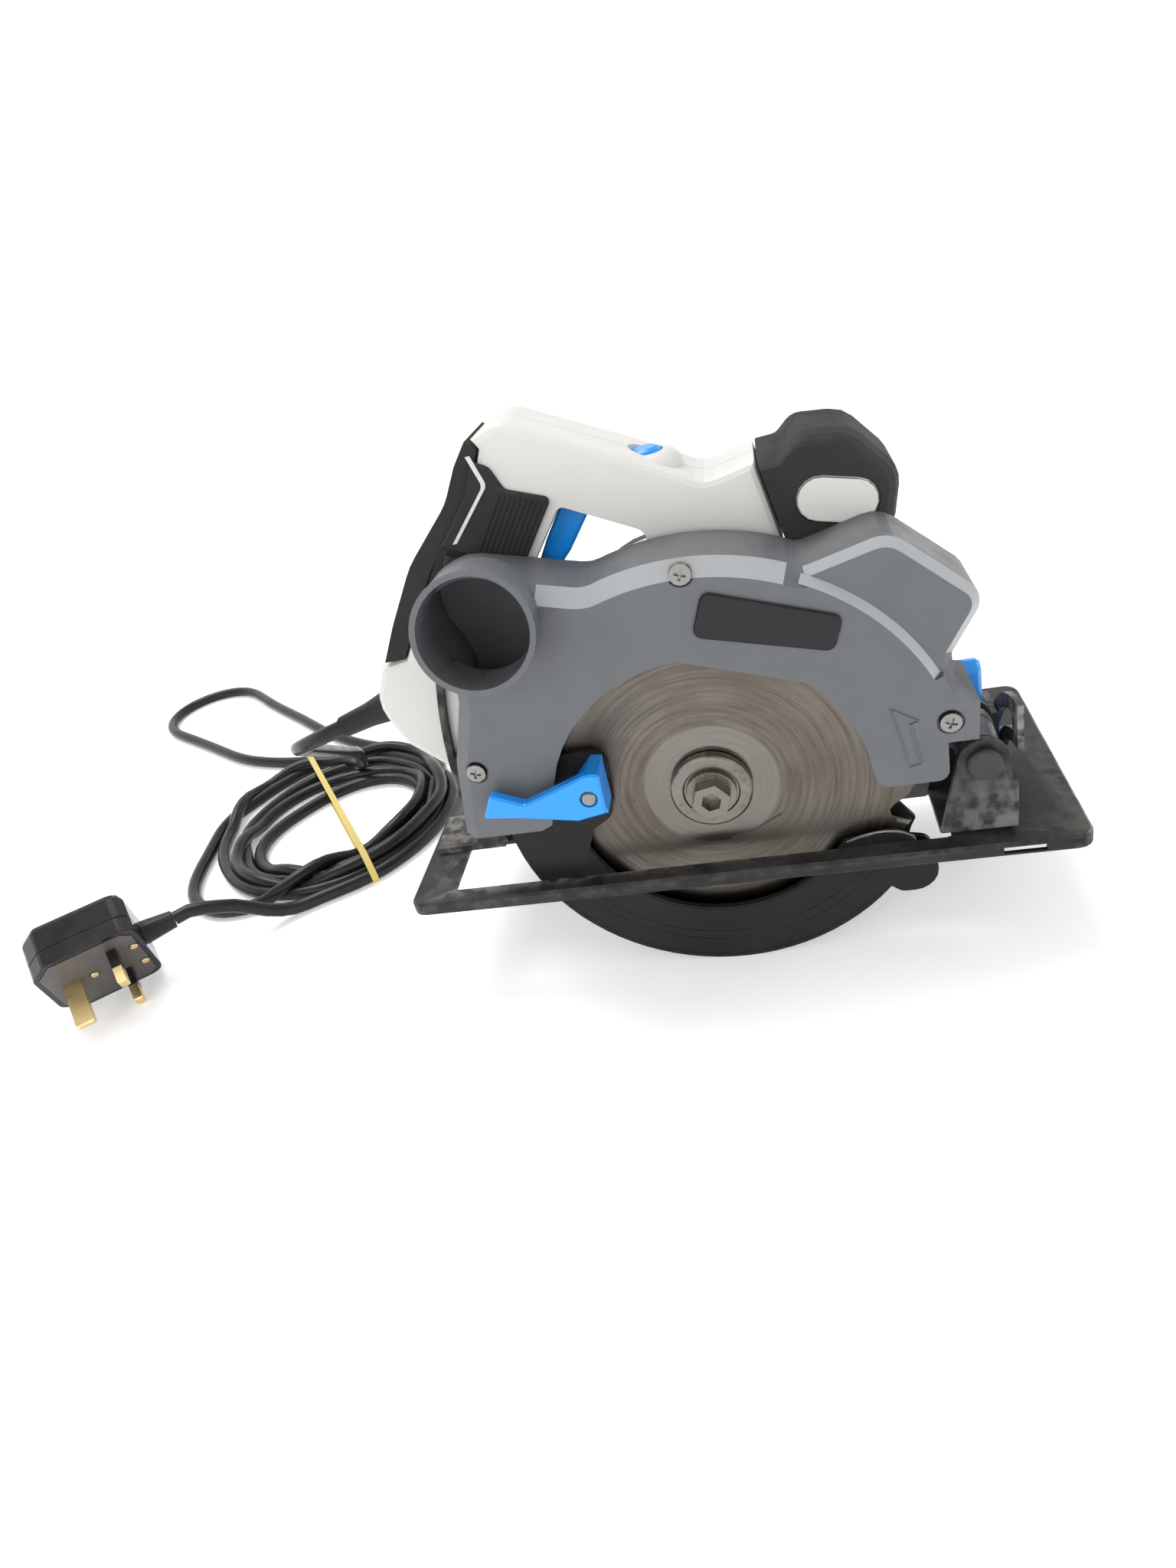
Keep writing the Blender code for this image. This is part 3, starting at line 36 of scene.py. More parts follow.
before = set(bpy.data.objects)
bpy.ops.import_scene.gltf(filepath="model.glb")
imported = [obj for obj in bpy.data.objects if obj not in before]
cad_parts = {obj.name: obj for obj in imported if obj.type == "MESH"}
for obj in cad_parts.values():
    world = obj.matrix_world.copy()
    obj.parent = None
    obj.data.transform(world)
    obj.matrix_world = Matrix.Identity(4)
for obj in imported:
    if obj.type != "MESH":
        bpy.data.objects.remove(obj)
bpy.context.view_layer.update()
CENTRE = AXIS * MM


def at(x, y, z):
    """A point of the saw's frame, in the scene's metres."""
    return Vector(((x + AXIS.x) * MM, (y + AXIS.y) * MM, (z + AXIS.z) * MM))


# ---------------------------------------------------------------- camera and stage
LENS = 22.548
EYE = (34.642, -314.394, 194.955)
RIGHT = Vector((0.96843366, 0.11830557, -0.21940836))
DOWN = Vector((-0.1247311, -0.53209199, -0.83744867))
FORWARD = Vector((-0.21582028, 0.83838053, -0.50053941))


def make_camera():
    data = bpy.data.cameras.new("camera")
    data.lens = LENS
    data.clip_start = 0.02
    camera = bpy.data.objects.new("camera", data)
    bpy.context.collection.objects.link(camera)
    turn = Matrix((RIGHT, -DOWN, -FORWARD)).transposed()
    camera.matrix_world = Matrix.Translation(at(*EYE)) @ turn.to_4x4()
    bpy.context.scene.camera = camera


def area_light(name, place, target, size, power, colour=(1.0, 1.0, 1.0)):
    data = bpy.data.lights.new(name, "AREA")
    data.shape = "RECTANGLE"
    data.size, data.size_y = size
    data.energy = power
    data.color = colour
    lamp = bpy.data.objects.new(name, data)
    bpy.context.collection.objects.link(lamp)
    lamp.location = place
    lamp.rotation_euler = (Vector(target) - Vector(place)).to_track_quat("-Z", "Y").to_euler()


FLAT_R = 2.0                           # the white floor is flat to here, in metres,
SWEEP_R = 1.2                          # then curves up with this radius into a round wall
WALL_TOP = 2.0


def make_stage():
    """A white floor that sweeps up into a wall all round, and soft light from everywhere."""
    bm = bmesh.new()
    steps = 96
    profile = [(0.6, 0.0), (FLAT_R, 0.0)]
    profile += [(FLAT_R + SWEEP_R * math.sin(math.radians(a)), SWEEP_R - SWEEP_R * math.cos(math.radians(a)))
                for a in range(10, 91, 10)]
    profile += [(FLAT_R + SWEEP_R, WALL_TOP)]
    rings = [[bm.verts.new((r * math.cos(2 * math.pi * k / steps), r * math.sin(2 * math.pi * k / steps), z))
              for k in range(steps)] for r, z in profile]
    bm.faces.new(rings[0])
    for near, far in zip(rings, rings[1:]):
        for k in range(steps):
            bm.faces.new((near[k - 1], far[k - 1], far[k], near[k]))
    mesh = bpy.data.meshes.new("floor")
    bm.to_mesh(mesh)
    bm.free()
    mesh.shade_smooth()
    floor = bpy.data.objects.new("floor", mesh)
    bpy.context.collection.objects.link(floor)
    mat = bpy.data.materials.new("floor_white")
    mat.use_nodes = True
    shader = mat.node_tree.nodes["Principled BSDF"]
    shader.inputs["Base Color"].default_value = (0.90, 0.90, 0.90, 1.0)
    shader.inputs["Roughness"].default_value = 0.9
    shader.inputs["Emission Color"].default_value = (1.0, 1.0, 1.0, 1.0)
    shader.inputs["Emission Strength"].default_value = 0.3
    mesh.materials.append(mat)
    world = bpy.data.worlds.new("studio")
    world.use_nodes = True
    world.node_tree.nodes["Background"].inputs["Color"].default_value = (1.0, 1.0, 1.0, 1.0)
    world.node_tree.nodes["Background"].inputs["Strength"].default_value = 0.62
    sun = bpy.data.lights.new("sun", "SUN")
    sun.energy = 1.6
    sun.angle = math.radians(35.0)
    lamp = bpy.data.objects.new("sun", sun)
    bpy.context.collection.objects.link(lamp)
    lamp.rotation_euler = Vector((0.35, -0.35, -1.0)).to_track_quat("-Z", "Y").to_euler()
    bpy.context.scene.world = world
    bpy.context.scene.view_settings.view_transform = "Standard"
    area_light("key_light", (-0.3, 0.3, 1.4), (0.0, 0.0, 0.08), (0.6, 0.6), 4.0)
    area_light("front_light", (-0.5, -1.2, 0.8), (0.0, 0.0, 0.08), (0.5, 0.4), 3.0)


# ---------------------------------------------------------------- materials
class Nodes:
    """A material's node tree, with short calls for the nodes used here."""

    def __init__(self, name, base, roughness, metallic=0.0):
        self.material = bpy.data.materials.new(name)
        self.material.use_nodes = True
        self.tree = self.material.node_tree
        self.shader = self.tree.nodes["Principled BSDF"]
        self.shader.inputs["Base Color"].default_value = (*base, 1.0)
        self.shader.inputs["Roughness"].default_value = roughness
        self.shader.inputs["Metallic"].default_value = metallic
        self.material.diffuse_color = (*base, 1.0)
        self.base = base
        self.colour = None
        self.roughness = None
        self.level = roughness
        self.normal = None
        self.space = self.tree.nodes.new("ShaderNodeTexCoord").outputs["Object"]

    def link(self, source, target):
        self.tree.links.new(source, target)

    def noise(self, scale, detail=3.0, roughness=0.5, vector=None):
        node = self.tree.nodes.new("ShaderNodeTexNoise")
        node.inputs["Scale"].default_value = scale
        node.inputs["Detail"].default_value = detail
        node.inputs["Roughness"].default_value = roughness
        self.link(vector or self.space, node.inputs["Vector"])
        return node.outputs["Fac"]

    def ramp(self, source, low, high, start=0.0, end=1.0):
        """Maps low..high of a value onto start..end, held outside."""
        node = self.tree.nodes.new("ShaderNodeMapRange")
        node.inputs["From Min"].default_value = low
        node.inputs["From Max"].default_value = high
        node.inputs["To Min"].default_value = start
        node.inputs["To Max"].default_value = end
        self.link(source, node.inputs["Value"])
        return node.outputs["Result"]

    def math(self, operation, a, b=None):
        node = self.tree.nodes.new("ShaderNodeMath")
        node.operation = operation
        for value, socket in ((a, node.inputs[0]), (b, node.inputs[1])):
            if value is None:
                continue
            if isinstance(value, (int, float)):
                socket.default_value = value
            else:
                self.link(value, socket)
        return node.outputs[0]

    def mix(self, factor, colour):
        """Lays a colour over what is there so far."""
        node = self.tree.nodes.new("ShaderNodeMix")
        node.data_type = "RGBA"
        if self.colour:
            self.link(self.colour, node.inputs["A"])
        else:
            node.inputs["A"].default_value = (*self.base, 1.0)
        node.inputs["B"].default_value = (*colour, 1.0)
        self.link(factor, node.inputs["Factor"])
        self.colour = node.outputs["Result"]

    def rough(self, factor, level):
        """Takes the roughness towards a level where the factor is high."""
        node = self.tree.nodes.new("ShaderNodeMix")
        node.data_type = "FLOAT"
        if self.roughness:
            self.link(self.roughness, node.inputs["A"])
        else:
            node.inputs["A"].default_value = self.level
        node.inputs["B"].default_value = level
        self.link(factor, node.inputs["Factor"])
        self.roughness = node.outputs["Result"]

    def bump(self, height, strength, distance):
        node = self.tree.nodes.new("ShaderNodeBump")
        node.inputs["Strength"].default_value = strength
        node.inputs["Distance"].default_value = distance * MM
        self.link(height, node.inputs["Height"])
        if self.normal:
            self.link(self.normal, node.inputs["Normal"])
        self.normal = node.outputs["Normal"]

    def upward(self):
        """0 on walls and undersides, 1 where the surface faces up."""
        geometry = self.tree.nodes.new("ShaderNodeNewGeometry")
        parts = self.tree.nodes.new("ShaderNodeSeparateXYZ")
        self.link(geometry.outputs["Normal"], parts.inputs[0])
        return self.ramp(parts.outputs["Z"], 0.25, 0.95)

    def edges(self, low=0.52, high=0.62):
        """High on convex edges, where a finish wears first."""
        geometry = self.tree.nodes.new("ShaderNodeNewGeometry")
        return self.ramp(geometry.outputs["Pointiness"], low, high)

    def done(self):
        if self.colour:
            self.link(self.colour, self.shader.inputs["Base Color"])
        if self.roughness:
            self.link(self.roughness, self.shader.inputs["Roughness"])
        if self.normal:
            self.link(self.normal, self.shader.inputs["Normal"])
        return self.material


def moulded(name, base, roughness, grain=0.15, dust=0.0, dust_colour=(0.35, 0.33, 0.30), coat=0.0, scuff=0.25,
            shine=0.5):
    """Injection-moulded plastic: fine spark grain, mottling, handling scuffs and dust."""
    n = Nodes(name, base, roughness)
    n.mix(n.ramp(n.noise(28.0, 4.0), 0.35, 0.75, 0.0, 0.22), tuple(min(1.0, c * 1.25 + 0.006) for c in base))
    n.rough(n.ramp(n.noise(90.0, 5.0), 0.4, 0.7), min(1.0, roughness + scuff * 0.6))
    if dust:
        patch = n.ramp(n.noise(38.0, 6.0, 0.65), 0.38, 0.66)
        settled = n.math("ADD", n.math("MULTIPLY", n.upward(), 0.8), 0.2)
        mask = n.math("MULTIPLY", n.math("MULTIPLY", patch, settled), dust)
        n.mix(mask, dust_colour)
        n.rough(mask, 0.95)
    if grain:
        n.bump(n.noise(2600.0, 2.0), grain, 0.05)
    n.shader.inputs["Specular IOR Level"].default_value = shine
    n.shader.inputs["Coat Weight"].default_value = coat
    n.shader.inputs["Coat Roughness"].default_value = 0.12
    return n.done()


def metal(name, base, roughness, tarnish=None, grain=0.1):
    """Bare or plated metal: fine lay, smudges and a little tarnish."""
    n = Nodes(name, base, roughness, 1.0)
    n.mix(n.ramp(n.noise(60.0, 4.0), 0.35, 0.7, 0.0, 0.35), tuple(c * 0.72 for c in base))
    if tarnish:
        n.mix(n.ramp(n.noise(130.0, 6.0, 0.7), 0.52, 0.72, 0.0, 0.7), tarnish)
    n.rough(n.ramp(n.noise(150.0, 5.0), 0.35, 0.7), roughness + 0.18)
    n.bump(n.noise(1400.0, 3.0), grain, 0.03)
    return n.done()


def blade_material():
    """Ground steel: rings of fine scratches, brown resin haze and a rubbed ring by the hub, lightened partly
    as a painted highlight.
    """
    n = Nodes("ground_blade_steel", (0.155, 0.140, 0.122), 0.30, 1.0)
    offset = n.tree.nodes.new("ShaderNodeVectorMath")
    offset.operation = "SUBTRACT"
    n.link(n.space, offset.inputs[0])
    offset.inputs[1].default_value = CENTRE
    parts = n.tree.nodes.new("ShaderNodeSeparateXYZ")
    n.link(offset.outputs["Vector"], parts.inputs[0])
    x, z = parts.outputs["X"], parts.outputs["Z"]
    radius = n.math("SQRT", n.math("ADD", n.math("MULTIPLY", x, x), n.math("MULTIPLY", z, z)))
    angle = n.math("ARCTAN2", z, x)
    polar = n.tree.nodes.new("ShaderNodeCombineXYZ")
    n.link(n.math("MULTIPLY", radius, 1000.0), polar.inputs["X"])
    n.link(n.math("MULTIPLY", n.math("SINE", angle), 1.4), polar.inputs["Y"])
    n.link(n.math("MULTIPLY", n.math("COSINE", angle), 1.4), polar.inputs["Z"])
    rings = n.noise(0.9, 5.0, 0.7, polar.outputs["Vector"])
    n.mix(n.ramp(rings, 0.42, 0.68, 0.0, 0.7), (0.090, 0.077, 0.064))
    n.mix(n.ramp(n.noise(26.0, 5.0, 0.6), 0.42, 0.72, 0.0, 0.7), (0.100, 0.080, 0.062))
    n.mix(n.ramp(n.noise(210.0, 6.0, 0.75), 0.62, 0.74, 0.0, 0.5), (0.045, 0.036, 0.028))
    # Inside about 25 mm the steel is lightened: partly a ring rubbed clean by the flange, partly a painted
    # highlight for the sheen round the hub.
    rubbed_ring_and_highlight = n.ramp(radius, 0.0258, 0.0250)
    n.mix(n.math("MULTIPLY", rubbed_ring_and_highlight, 0.45), (0.22, 0.21, 0.195))
    n.rough(n.ramp(rings, 0.35, 0.7), 0.52)
    n.rough(n.math("MULTIPLY", rubbed_ring_and_highlight, 0.8), 0.2)
    n.bump(n.noise(3.4, 3.0, 0.6, polar.outputs["Vector"]), 0.35, 0.03)
    tangent = n.tree.nodes.new("ShaderNodeVectorMath")
    tangent.operation = "CROSS_PRODUCT"
    n.link(offset.outputs["Vector"], tangent.inputs[0])
    tangent.inputs[1].default_value = (0.0, 1.0, 0.0)
    to_world = n.tree.nodes.new("ShaderNodeVectorTransform")
    to_world.vector_type = "VECTOR"
    to_world.convert_from = "OBJECT"
    to_world.convert_to = "WORLD"
    n.link(tangent.outputs["Vector"], to_world.inputs[0])
    n.link(to_world.outputs[0], n.shader.inputs["Tangent"])
    n.shader.inputs["Anisotropic"].default_value = 0.75
    return n.done()


def painted_sole():
    """Black paint over steel: sawdust in patches on the upward faces, rubbed grey on the edges."""
    n = Nodes("sole_black_paint", (0.014, 0.014, 0.0145), 0.38)
    n.shader.inputs["Specular IOR Level"].default_value = 0.25
    n.mix(n.ramp(n.noise(45.0, 5.0), 0.4, 0.7, 0.0, 0.6), (0.030, 0.029, 0.028))
    n.mix(n.math("MULTIPLY", n.edges(), n.ramp(n.noise(170.0, 5.0), 0.4, 0.6)), (0.22, 0.21, 0.20))
    patch = n.ramp(n.noise(60.0, 8.0, 0.72), 0.44, 0.70, 0.0, 0.75)
    n.mix(n.math("MULTIPLY", patch, n.upward()), (0.085, 0.076, 0.066))
    n.rough(n.ramp(n.noise(60.0, 8.0, 0.72), 0.42, 0.68), 0.8)
    n.bump(n.noise(900.0, 4.0), 0.25, 0.06)
    return n.done()


def make_materials():
    return {
        "guard": moulded("guard_grey", (0.092, 0.098, 0.106), 0.42, 0.12, 0.22, (0.23, 0.23, 0.225)),
        "white": moulded("white_shell", (0.60, 0.587, 0.56), 0.40, 0.10, 0.10, (0.46, 0.43, 0.38), scuff=0.15,
                         shine=0.3),
        "black": moulded("black_plastic", (0.011, 0.011, 0.012), 0.34, 0.10, 0.05, shine=0.2),
        "inner": moulded("inner_guard_black", (0.010, 0.010, 0.011), 0.36, 0.12, 0.25, (0.08, 0.072, 0.062),
                         shine=0.18),
        "rubber": moulded("dusty_rubber", (0.022, 0.021, 0.021), 0.72, 0.4, 0.5, (0.090, 0.082, 0.075),
                          shine=0.25),
        "blue": moulded("blue_plastic", (0.0, 0.255, 0.80), 0.30, 0.05, 0.04, (0.35, 0.45, 0.55), coat=0.2),
        "gloss": moulded("gloss_black", (0.010, 0.010, 0.012), 0.16, 0.02, 0.05, coat=0.1, scuff=0.1,
                         shine=0.2),
        "pin_face": moulded("pin_face_grey", (0.060, 0.052, 0.050), 0.38, 0.08, 0.3),
        "cord": moulded("cord_sheath", (0.008, 0.008, 0.009), 0.27, 0.06, 0.04, coat=0.05, scuff=0.2,
                        shine=0.25),
        "steel": metal("plated_steel", (0.26, 0.255, 0.245), 0.26, tarnish=(0.16, 0.13, 0.10)),
        "flange": metal("flange_steel", (0.20, 0.188, 0.165), 0.28, tarnish=(0.075, 0.060, 0.045)),
        "brass": metal("pin_brass", (0.80, 0.62, 0.30), 0.26),
        "cast": metal("cast_aluminium", (0.50, 0.51, 0.52), 0.45, grain=0.3),
        "copper": metal("enamelled_copper", (0.66, 0.30, 0.15), 0.30),
        "carbon": moulded("carbon", (0.025, 0.025, 0.025), 0.6, 0.2),
        "latex": moulded("latex", (0.60, 0.455, 0.115), 0.42, 0.05, 0.0, scuff=0.1),
        "carbide": metal("carbide", (0.42, 0.40, 0.36), 0.34),
        # Silvery grey for the guard's chamfer and step strips: partly their paint, partly a painted highlight
        # where they face the light.
        "silver_and_highlight": moulded("silver_paint_and_highlight", (0.31, 0.32, 0.33), 0.30, 0.05, 0.12, (0.25, 0.25, 0.25), coat=0.1),
        "blade": blade_material(),
        "sole": painted_sole(),
    }


MATERIALS = {}
NODE_LOOKS = {
    "guard": ["guard_cover", "guard_back"],
    "white": ["handle_near", "handle_far", "motor_housing", "knob_cap"],
    "black": ["motor_end_cap", "brush_ring", "cooling_fan", "arbor_lock_button", "switch_body",
              "strain_relief", "depth_lock_lever", "plug_sleeve"],
    "inner": ["lower_guard_shell"],
    "rubber": ["rear_grip", "grip_pad", "front_knob"],
    "blue": ["guard_lever", "bevel_lock_lever", "trigger", "lock_off_button"],
    "gloss": ["label_plate", "plug_base", "plug_cover"],
    "steel": ["guard_screw_front", "guard_screw_rear", "guard_screw_top", "spindle_bearing",
              "armature_bearing_front", "armature_bearing_rear", "stator_core", "armature_shaft",
              "armature_core", "guard_lever_screw", "guard_spring", "handle_screw",
              "output_gear", "spindle"],
    "flange": ["outer_flange", "inner_flange", "blade_bolt"],
    "brass": ["earth_pin", "live_pin", "neutral_pin"],
    "cast": ["gear_case"],
    "copper": ["field_winding", "commutator"],
    "carbon": ["brush_upper", "brush_lower", "depth_pivot_pin"],
    "sole": ["sole_plate", "front_bracket", "depth_guide"],
    "blade": ["blade"],
}
SOFTENED = {
    "guard_cover": (0.9, 2), "handle_near": (0.8, 2), "handle_far": (0.8, 2), "motor_housing": (0.6, 2),
    "lower_guard_shell": (0.6, 2), "rear_grip": (0.8, 2), "front_knob": (1.2, 3), "knob_cap": (0.5, 2),
    "guard_lever": (0.6, 2), "bevel_lock_lever": (0.6, 2), "trigger": (0.6, 2), "plug_base": (1.6, 3),
    "plug_cover": (1.6, 3), "sole_plate": (0.5, 2), "front_bracket": (0.4, 2), "motor_end_cap": (0.8, 2),
    "outer_flange": (0.35, 2), "blade_bolt": (0.35, 2), "depth_pivot_pin": (0.4, 2), "gear_case": (0.6, 1),
    "guard_back": (0.4, 1), "strain_relief": (0.4, 2), "plug_sleeve": (0.5, 2), "depth_lock_lever": (0.5, 2),
    "label_plate": (0.4, 2), "depth_guide": (0.3, 1), "switch_body": (0.4, 1),
}


def dress_nodes():
    """Gives each CAD node its material, and the edges that show a small radius."""
    for look, names in NODE_LOOKS.items():
        for name in names:
            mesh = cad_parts[name].data
            mesh.materials.clear()
            mesh.materials.append(MATERIALS[look])
    for name, (width, segments) in SOFTENED.items():
        soften(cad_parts[name], width, segments)


def soften(obj, width, segments=2, angle=28.0):
    weld = obj.modifiers.new("weld", "WELD")
    weld.merge_threshold = 0.00001
    bevel = obj.modifiers.new("edge_radius", "BEVEL")
    bevel.width = width * MM
    bevel.segments = segments
    bevel.limit_method = "ANGLE"
    bevel.angle_limit = math.radians(angle)
    bevel.use_clamp_overlap = True
    bevel.harden_normals = True


# ---------------------------------------------------------------- building pieces
def piece(bm, name, look, body="saw_body", smooth=35.0):
    """Turns a mesh in the saw's frame (mm) into a piece that rides on a body."""
    bmesh.ops.recalc_face_normals(bm, faces=bm.faces)
    for vert in bm.verts:
        vert.co = at(*vert.co)
    mesh = bpy.data.meshes.new(name)
    bm.to_mesh(mesh)
    bm.free()
    mesh.materials.append(MATERIALS[look])
    mesh.shade_smooth()
    mesh.set_sharp_from_angle(angle=math.radians(smooth))
    obj = bpy.data.objects.new(name, mesh)
    bpy.context.collection.objects.link(obj)
    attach(obj, body)
    return obj


def place(axis, u, v, along):
    """A point from two coordinates across an axis and one along it."""
    if axis == "X":
        return Vector((along, u, v))
    if axis == "Y":
        return Vector((u, along, v))
    return Vector((u, v, along))


def prism(outline, low, high, axis="Y"):
    bm = bmesh.new()
    near = [bm.verts.new(place(axis, u, v, low)) for u, v in outline]
    far = [bm.verts.new(place(axis, u, v, high)) for u, v in outline]
    bm.faces.new(near)
    bm.faces.new(list(reversed(far)))
    for i in range(len(outline)):
        j = (i + 1) % len(outline)
        bm.faces.new((near[i], far[i], far[j], near[j]))
    return bm


def tube_along(points, radius, sides=10, closed=False, flat=1.0):
    """A tube along points in mm. flat squeezes it towards the path's own plane."""
    pts = [Vector(p) for p in points]
    bm = bmesh.new()
    rings = []
    count = len(pts)
    side = Vector((0.0, 1.0, 0.0))
    for i, p in enumerate(pts):
        before = pts[i - 1] if closed or i else p
        after = pts[(i + 1) % count] if closed or i < count - 1 else p
        ahead = (after - before).normalized()
        across = side.cross(ahead)
        if across.length < 1e-3:
            across = Vector((1.0, 0.0, 0.0)).cross(ahead)
        across.normalize()
        up = ahead.cross(across)
        ring = []
        for k in range(sides):
            turn = 2 * math.pi * k / sides
            offset = across * radius * math.cos(turn) + up * radius * flat * math.sin(turn)
            ring.append(bm.verts.new(p + offset))
        rings.append(ring)
    pairs = list(zip(rings, rings[1:]))
    if closed:
        pairs.append((rings[-1], rings[0]))
    else:
        bm.faces.new(list(reversed(rings[0])))
        bm.faces.new(rings[-1])
    for a, b in pairs:
        for k in range(sides):
            j = (k + 1) % sides
            bm.faces.new((a[k], a[j], b[j], b[k]))
    return bm


def arc(centre, radius, start, end, steps):
    """Points on an arc, angles in degrees, both ends included."""
    points = []
    for k in range(steps + 1):
        turn = math.radians(start + (end - start) * k / steps)
        points.append((centre[0] + radius * math.cos(turn), centre[1] + radius * math.sin(turn)))
    return points


def turned(corners, step=12.0):
    """An outline whose corners with a third number are turned to that radius."""
    points = []
    for i, corner in enumerate(corners):
        if len(corner) == 2:
            points.append(corner)
            continue
        here = Vector(corner[:2])
        back = (Vector(corners[i - 1][:2]) - here).normalized()
        ahead = (Vector(corners[(i + 1) % len(corners)][:2]) - here).normalized()
        half = back.angle(ahead) / 2
        centre = here + (back + ahead).normalized() * corner[2] / math.sin(half)
        start = here + back * corner[2] / math.tan(half) - centre
        end = here + ahead * corner[2] / math.tan(half) - centre
        first = math.degrees(math.atan2(start.y, start.x))
        sweep = math.degrees(math.atan2(end.y, end.x)) - first
        sweep = (sweep + 180.0) % 360.0 - 180.0
        points += arc(centre, corner[2], first, first + sweep, max(2, round(abs(sweep) / step)))
    return points


def inset(outline, distance):
    """An open, counter-clockwise line moved inwards by a distance."""
    moved = []
    last = len(outline) - 1
    for i, here in enumerate(outline):
        here = Vector(here)
        first = (here - Vector(outline[max(0, i - 1)])).normalized()
        second = (Vector(outline[min(last, i + 1)]) - here).normalized()
        first = first if i else second
        second = second if i < last else first
        normal = (Vector((-first.y, first.x)) + Vector((-second.y, second.x))).normalized()
        moved.append(tuple(here + normal * distance / max(0.35, normal.dot(Vector((-first.y, first.x))))))
    return moved


def ribbon(lower, upper, lift):
    """A thin closed strip between two lines of points, lifted off the surface they span."""
    bm = bmesh.new()
    rows = []
    for i, (a, b) in enumerate(zip(lower, upper)):
        a, b = Vector(a), Vector(b)
        ahead = Vector(lower[min(len(lower) - 1, i + 1)]) - Vector(lower[max(0, i - 1)])
        out = ahead.cross(b - a).normalized()
        if out.y > 0:
            out.negate()
        corners = (a - out * lift, b - out * lift, b + out * lift, a + out * lift)
        rows.append([bm.verts.new(p) for p in corners])
    bm.faces.new(rows[0])
    bm.faces.new(list(reversed(rows[-1])))
    for near, far in zip(rows, rows[1:]):
        for k in range(4):
            j = (k + 1) % 4
            bm.faces.new((near[k], far[k], far[j], near[j]))
    return bm


# ---------------------------------------------------------------- upper guard
GUARD_FACE = -13.0                     # the guard's near face
CHAMFER = 5.4
BULGE_STEP = 2.6                       # the bulge over the front is set back by this
TOP_R = 91.6                           # the arch of the guard's top edge
STEP_R = TOP_R - 1.2                   # the step round the bulge is concentric with the arch
# The strips are silvery paint, lightened partly as a painted highlight.
PAINT = 0.09                           # half the thickness of the silver strips
BULGE = [(86.0, 44.0), (97.2, 62.6, 8.0), (69.0, 88.2, 11.0), (41.0, 81.3, 7.0)]
TOP_REAR = [(-29.0, 86.8, 12.0), (-44.2, 90.9)]


def chamfer_strip(outline, reach, name, bulge=False):
    """Silvery paint on the chamfer that runs along the guard's top edge, lightened partly as a painted
    highlight where the chamfer faces the light.
    """
    face = GUARD_FACE + (BULGE_STEP if bulge else 0.0)
    lower = [(x, face, z) for x, z in inset(outline, reach)]
    upper = [(x, GUARD_FACE + CHAMFER, z) for x, z in outline]
    piece(ribbon(lower, upper, PAINT), name, "silver_and_highlight")


def make_guard_details():
    """The guard's strips of silvery paint, lightened partly as a painted highlight, and the arrow that shows
    which way the blade turns.
    """
    top = turned([(41.0, 81.3)] + arc((0.0, 0.0), TOP_R, 66, 105, 16) + TOP_REAR)
    chamfer_strip(top[1:], CHAMFER, "guard_edge_silver_and_highlight")
    front = turned(BULGE + [(33.0, 85.2)])
    chamfer_strip(front[:-3], CHAMFER - BULGE_STEP, "bulge_edge_silver_and_highlight", bulge=True)
    outer = arc((0.0, 0.0), STEP_R, 25.5, 63.0, 24)
    inner = arc((0.0, 0.0), STEP_R - BULGE_STEP, 25.5, 63.0, 24)
    # The step round the bulge faces the light: its strip is partly silvery paint, partly a painted highlight.
    step = ribbon([(x, GUARD_FACE, z) for x, z in inner],
                  [(x, GUARD_FACE + BULGE_STEP, z) for x, z in outer], PAINT)
    piece(step, "guard_step_silver_and_highlight", "silver_and_highlight")
    arrow = [(64.7, 29.0), (73.7, 23.0), (70.9, 22.2), (74.0, 6.2), (69.8, 5.2), (67.6, 17.0)]
    ridge = tube_along([(x, GUARD_FACE - 0.05, z) for x, z in arrow], 0.42, 8, closed=True)
    piece(ridge, "turning_arrow", "guard")


# ---------------------------------------------------------------- blade and lower guard
BLADE_R = 75.0
TEETH = 20
TIP_HALF = 1.05                        # half the width of a carbide tip
BLADE_NEAR = -0.72                     # the blade's near face
SWING_NEAR = -6.2                      # the lower guard's near face
RIDGES = (                             # name, radius, first angle, last angle
    ("outer_rim", 78.6, 196.0, 316.0),
    ("ridge_outer", 70.5, 200.0, 322.0),
    ("ridge_inner", 66.5, 204.0, 325.0),
    ("window_lip", 55.2, 201.0, 327.0),
)
RIDGE_R = 0.45                         # low enough to clear the sole at full bevel


def make_blade_details():
    bm = bmesh.new()
    for k in range(TEETH):
        turn = math.radians(-2.0 + 360.0 / TEETH * k)
        out = Vector((math.cos(turn), 0.0, math.sin(turn)))
        back = Vector((math.sin(turn), 0.0, -math.cos(turn)))
        corners = [out * (BLADE_R - 5.2) + back * 0.25, out * (BLADE_R + 0.15) - back * 0.15,
                   out * (BLADE_R - 0.5) + back * 1.9, out * (BLADE_R - 4.8) + back * 1.7]
        near = [bm.verts.new(c + Vector((0.0, -TIP_HALF, 0.0))) for c in corners]
        far = [bm.verts.new(c + Vector((0.0, TIP_HALF, 0.0))) for c in corners]
        bm.faces.new(near)
        bm.faces.new(list(reversed(far)))
        for i in range(4):
            j = (i + 1) % 4
            bm.faces.new((near[i], far[i], far[j], near[j]))
    piece(bm, "carbide_tips", "carbide", "blade_spindle")
    scratch = [(4.0, BLADE_NEAR, -24.5), (14.0, BLADE_NEAR, -21.5), (24.0, BLADE_NEAR, -16.0)]
    piece(tube_along(scratch, 0.35, 6, flat=0.25), "blade_scratch", "carbon", "blade_spindle")


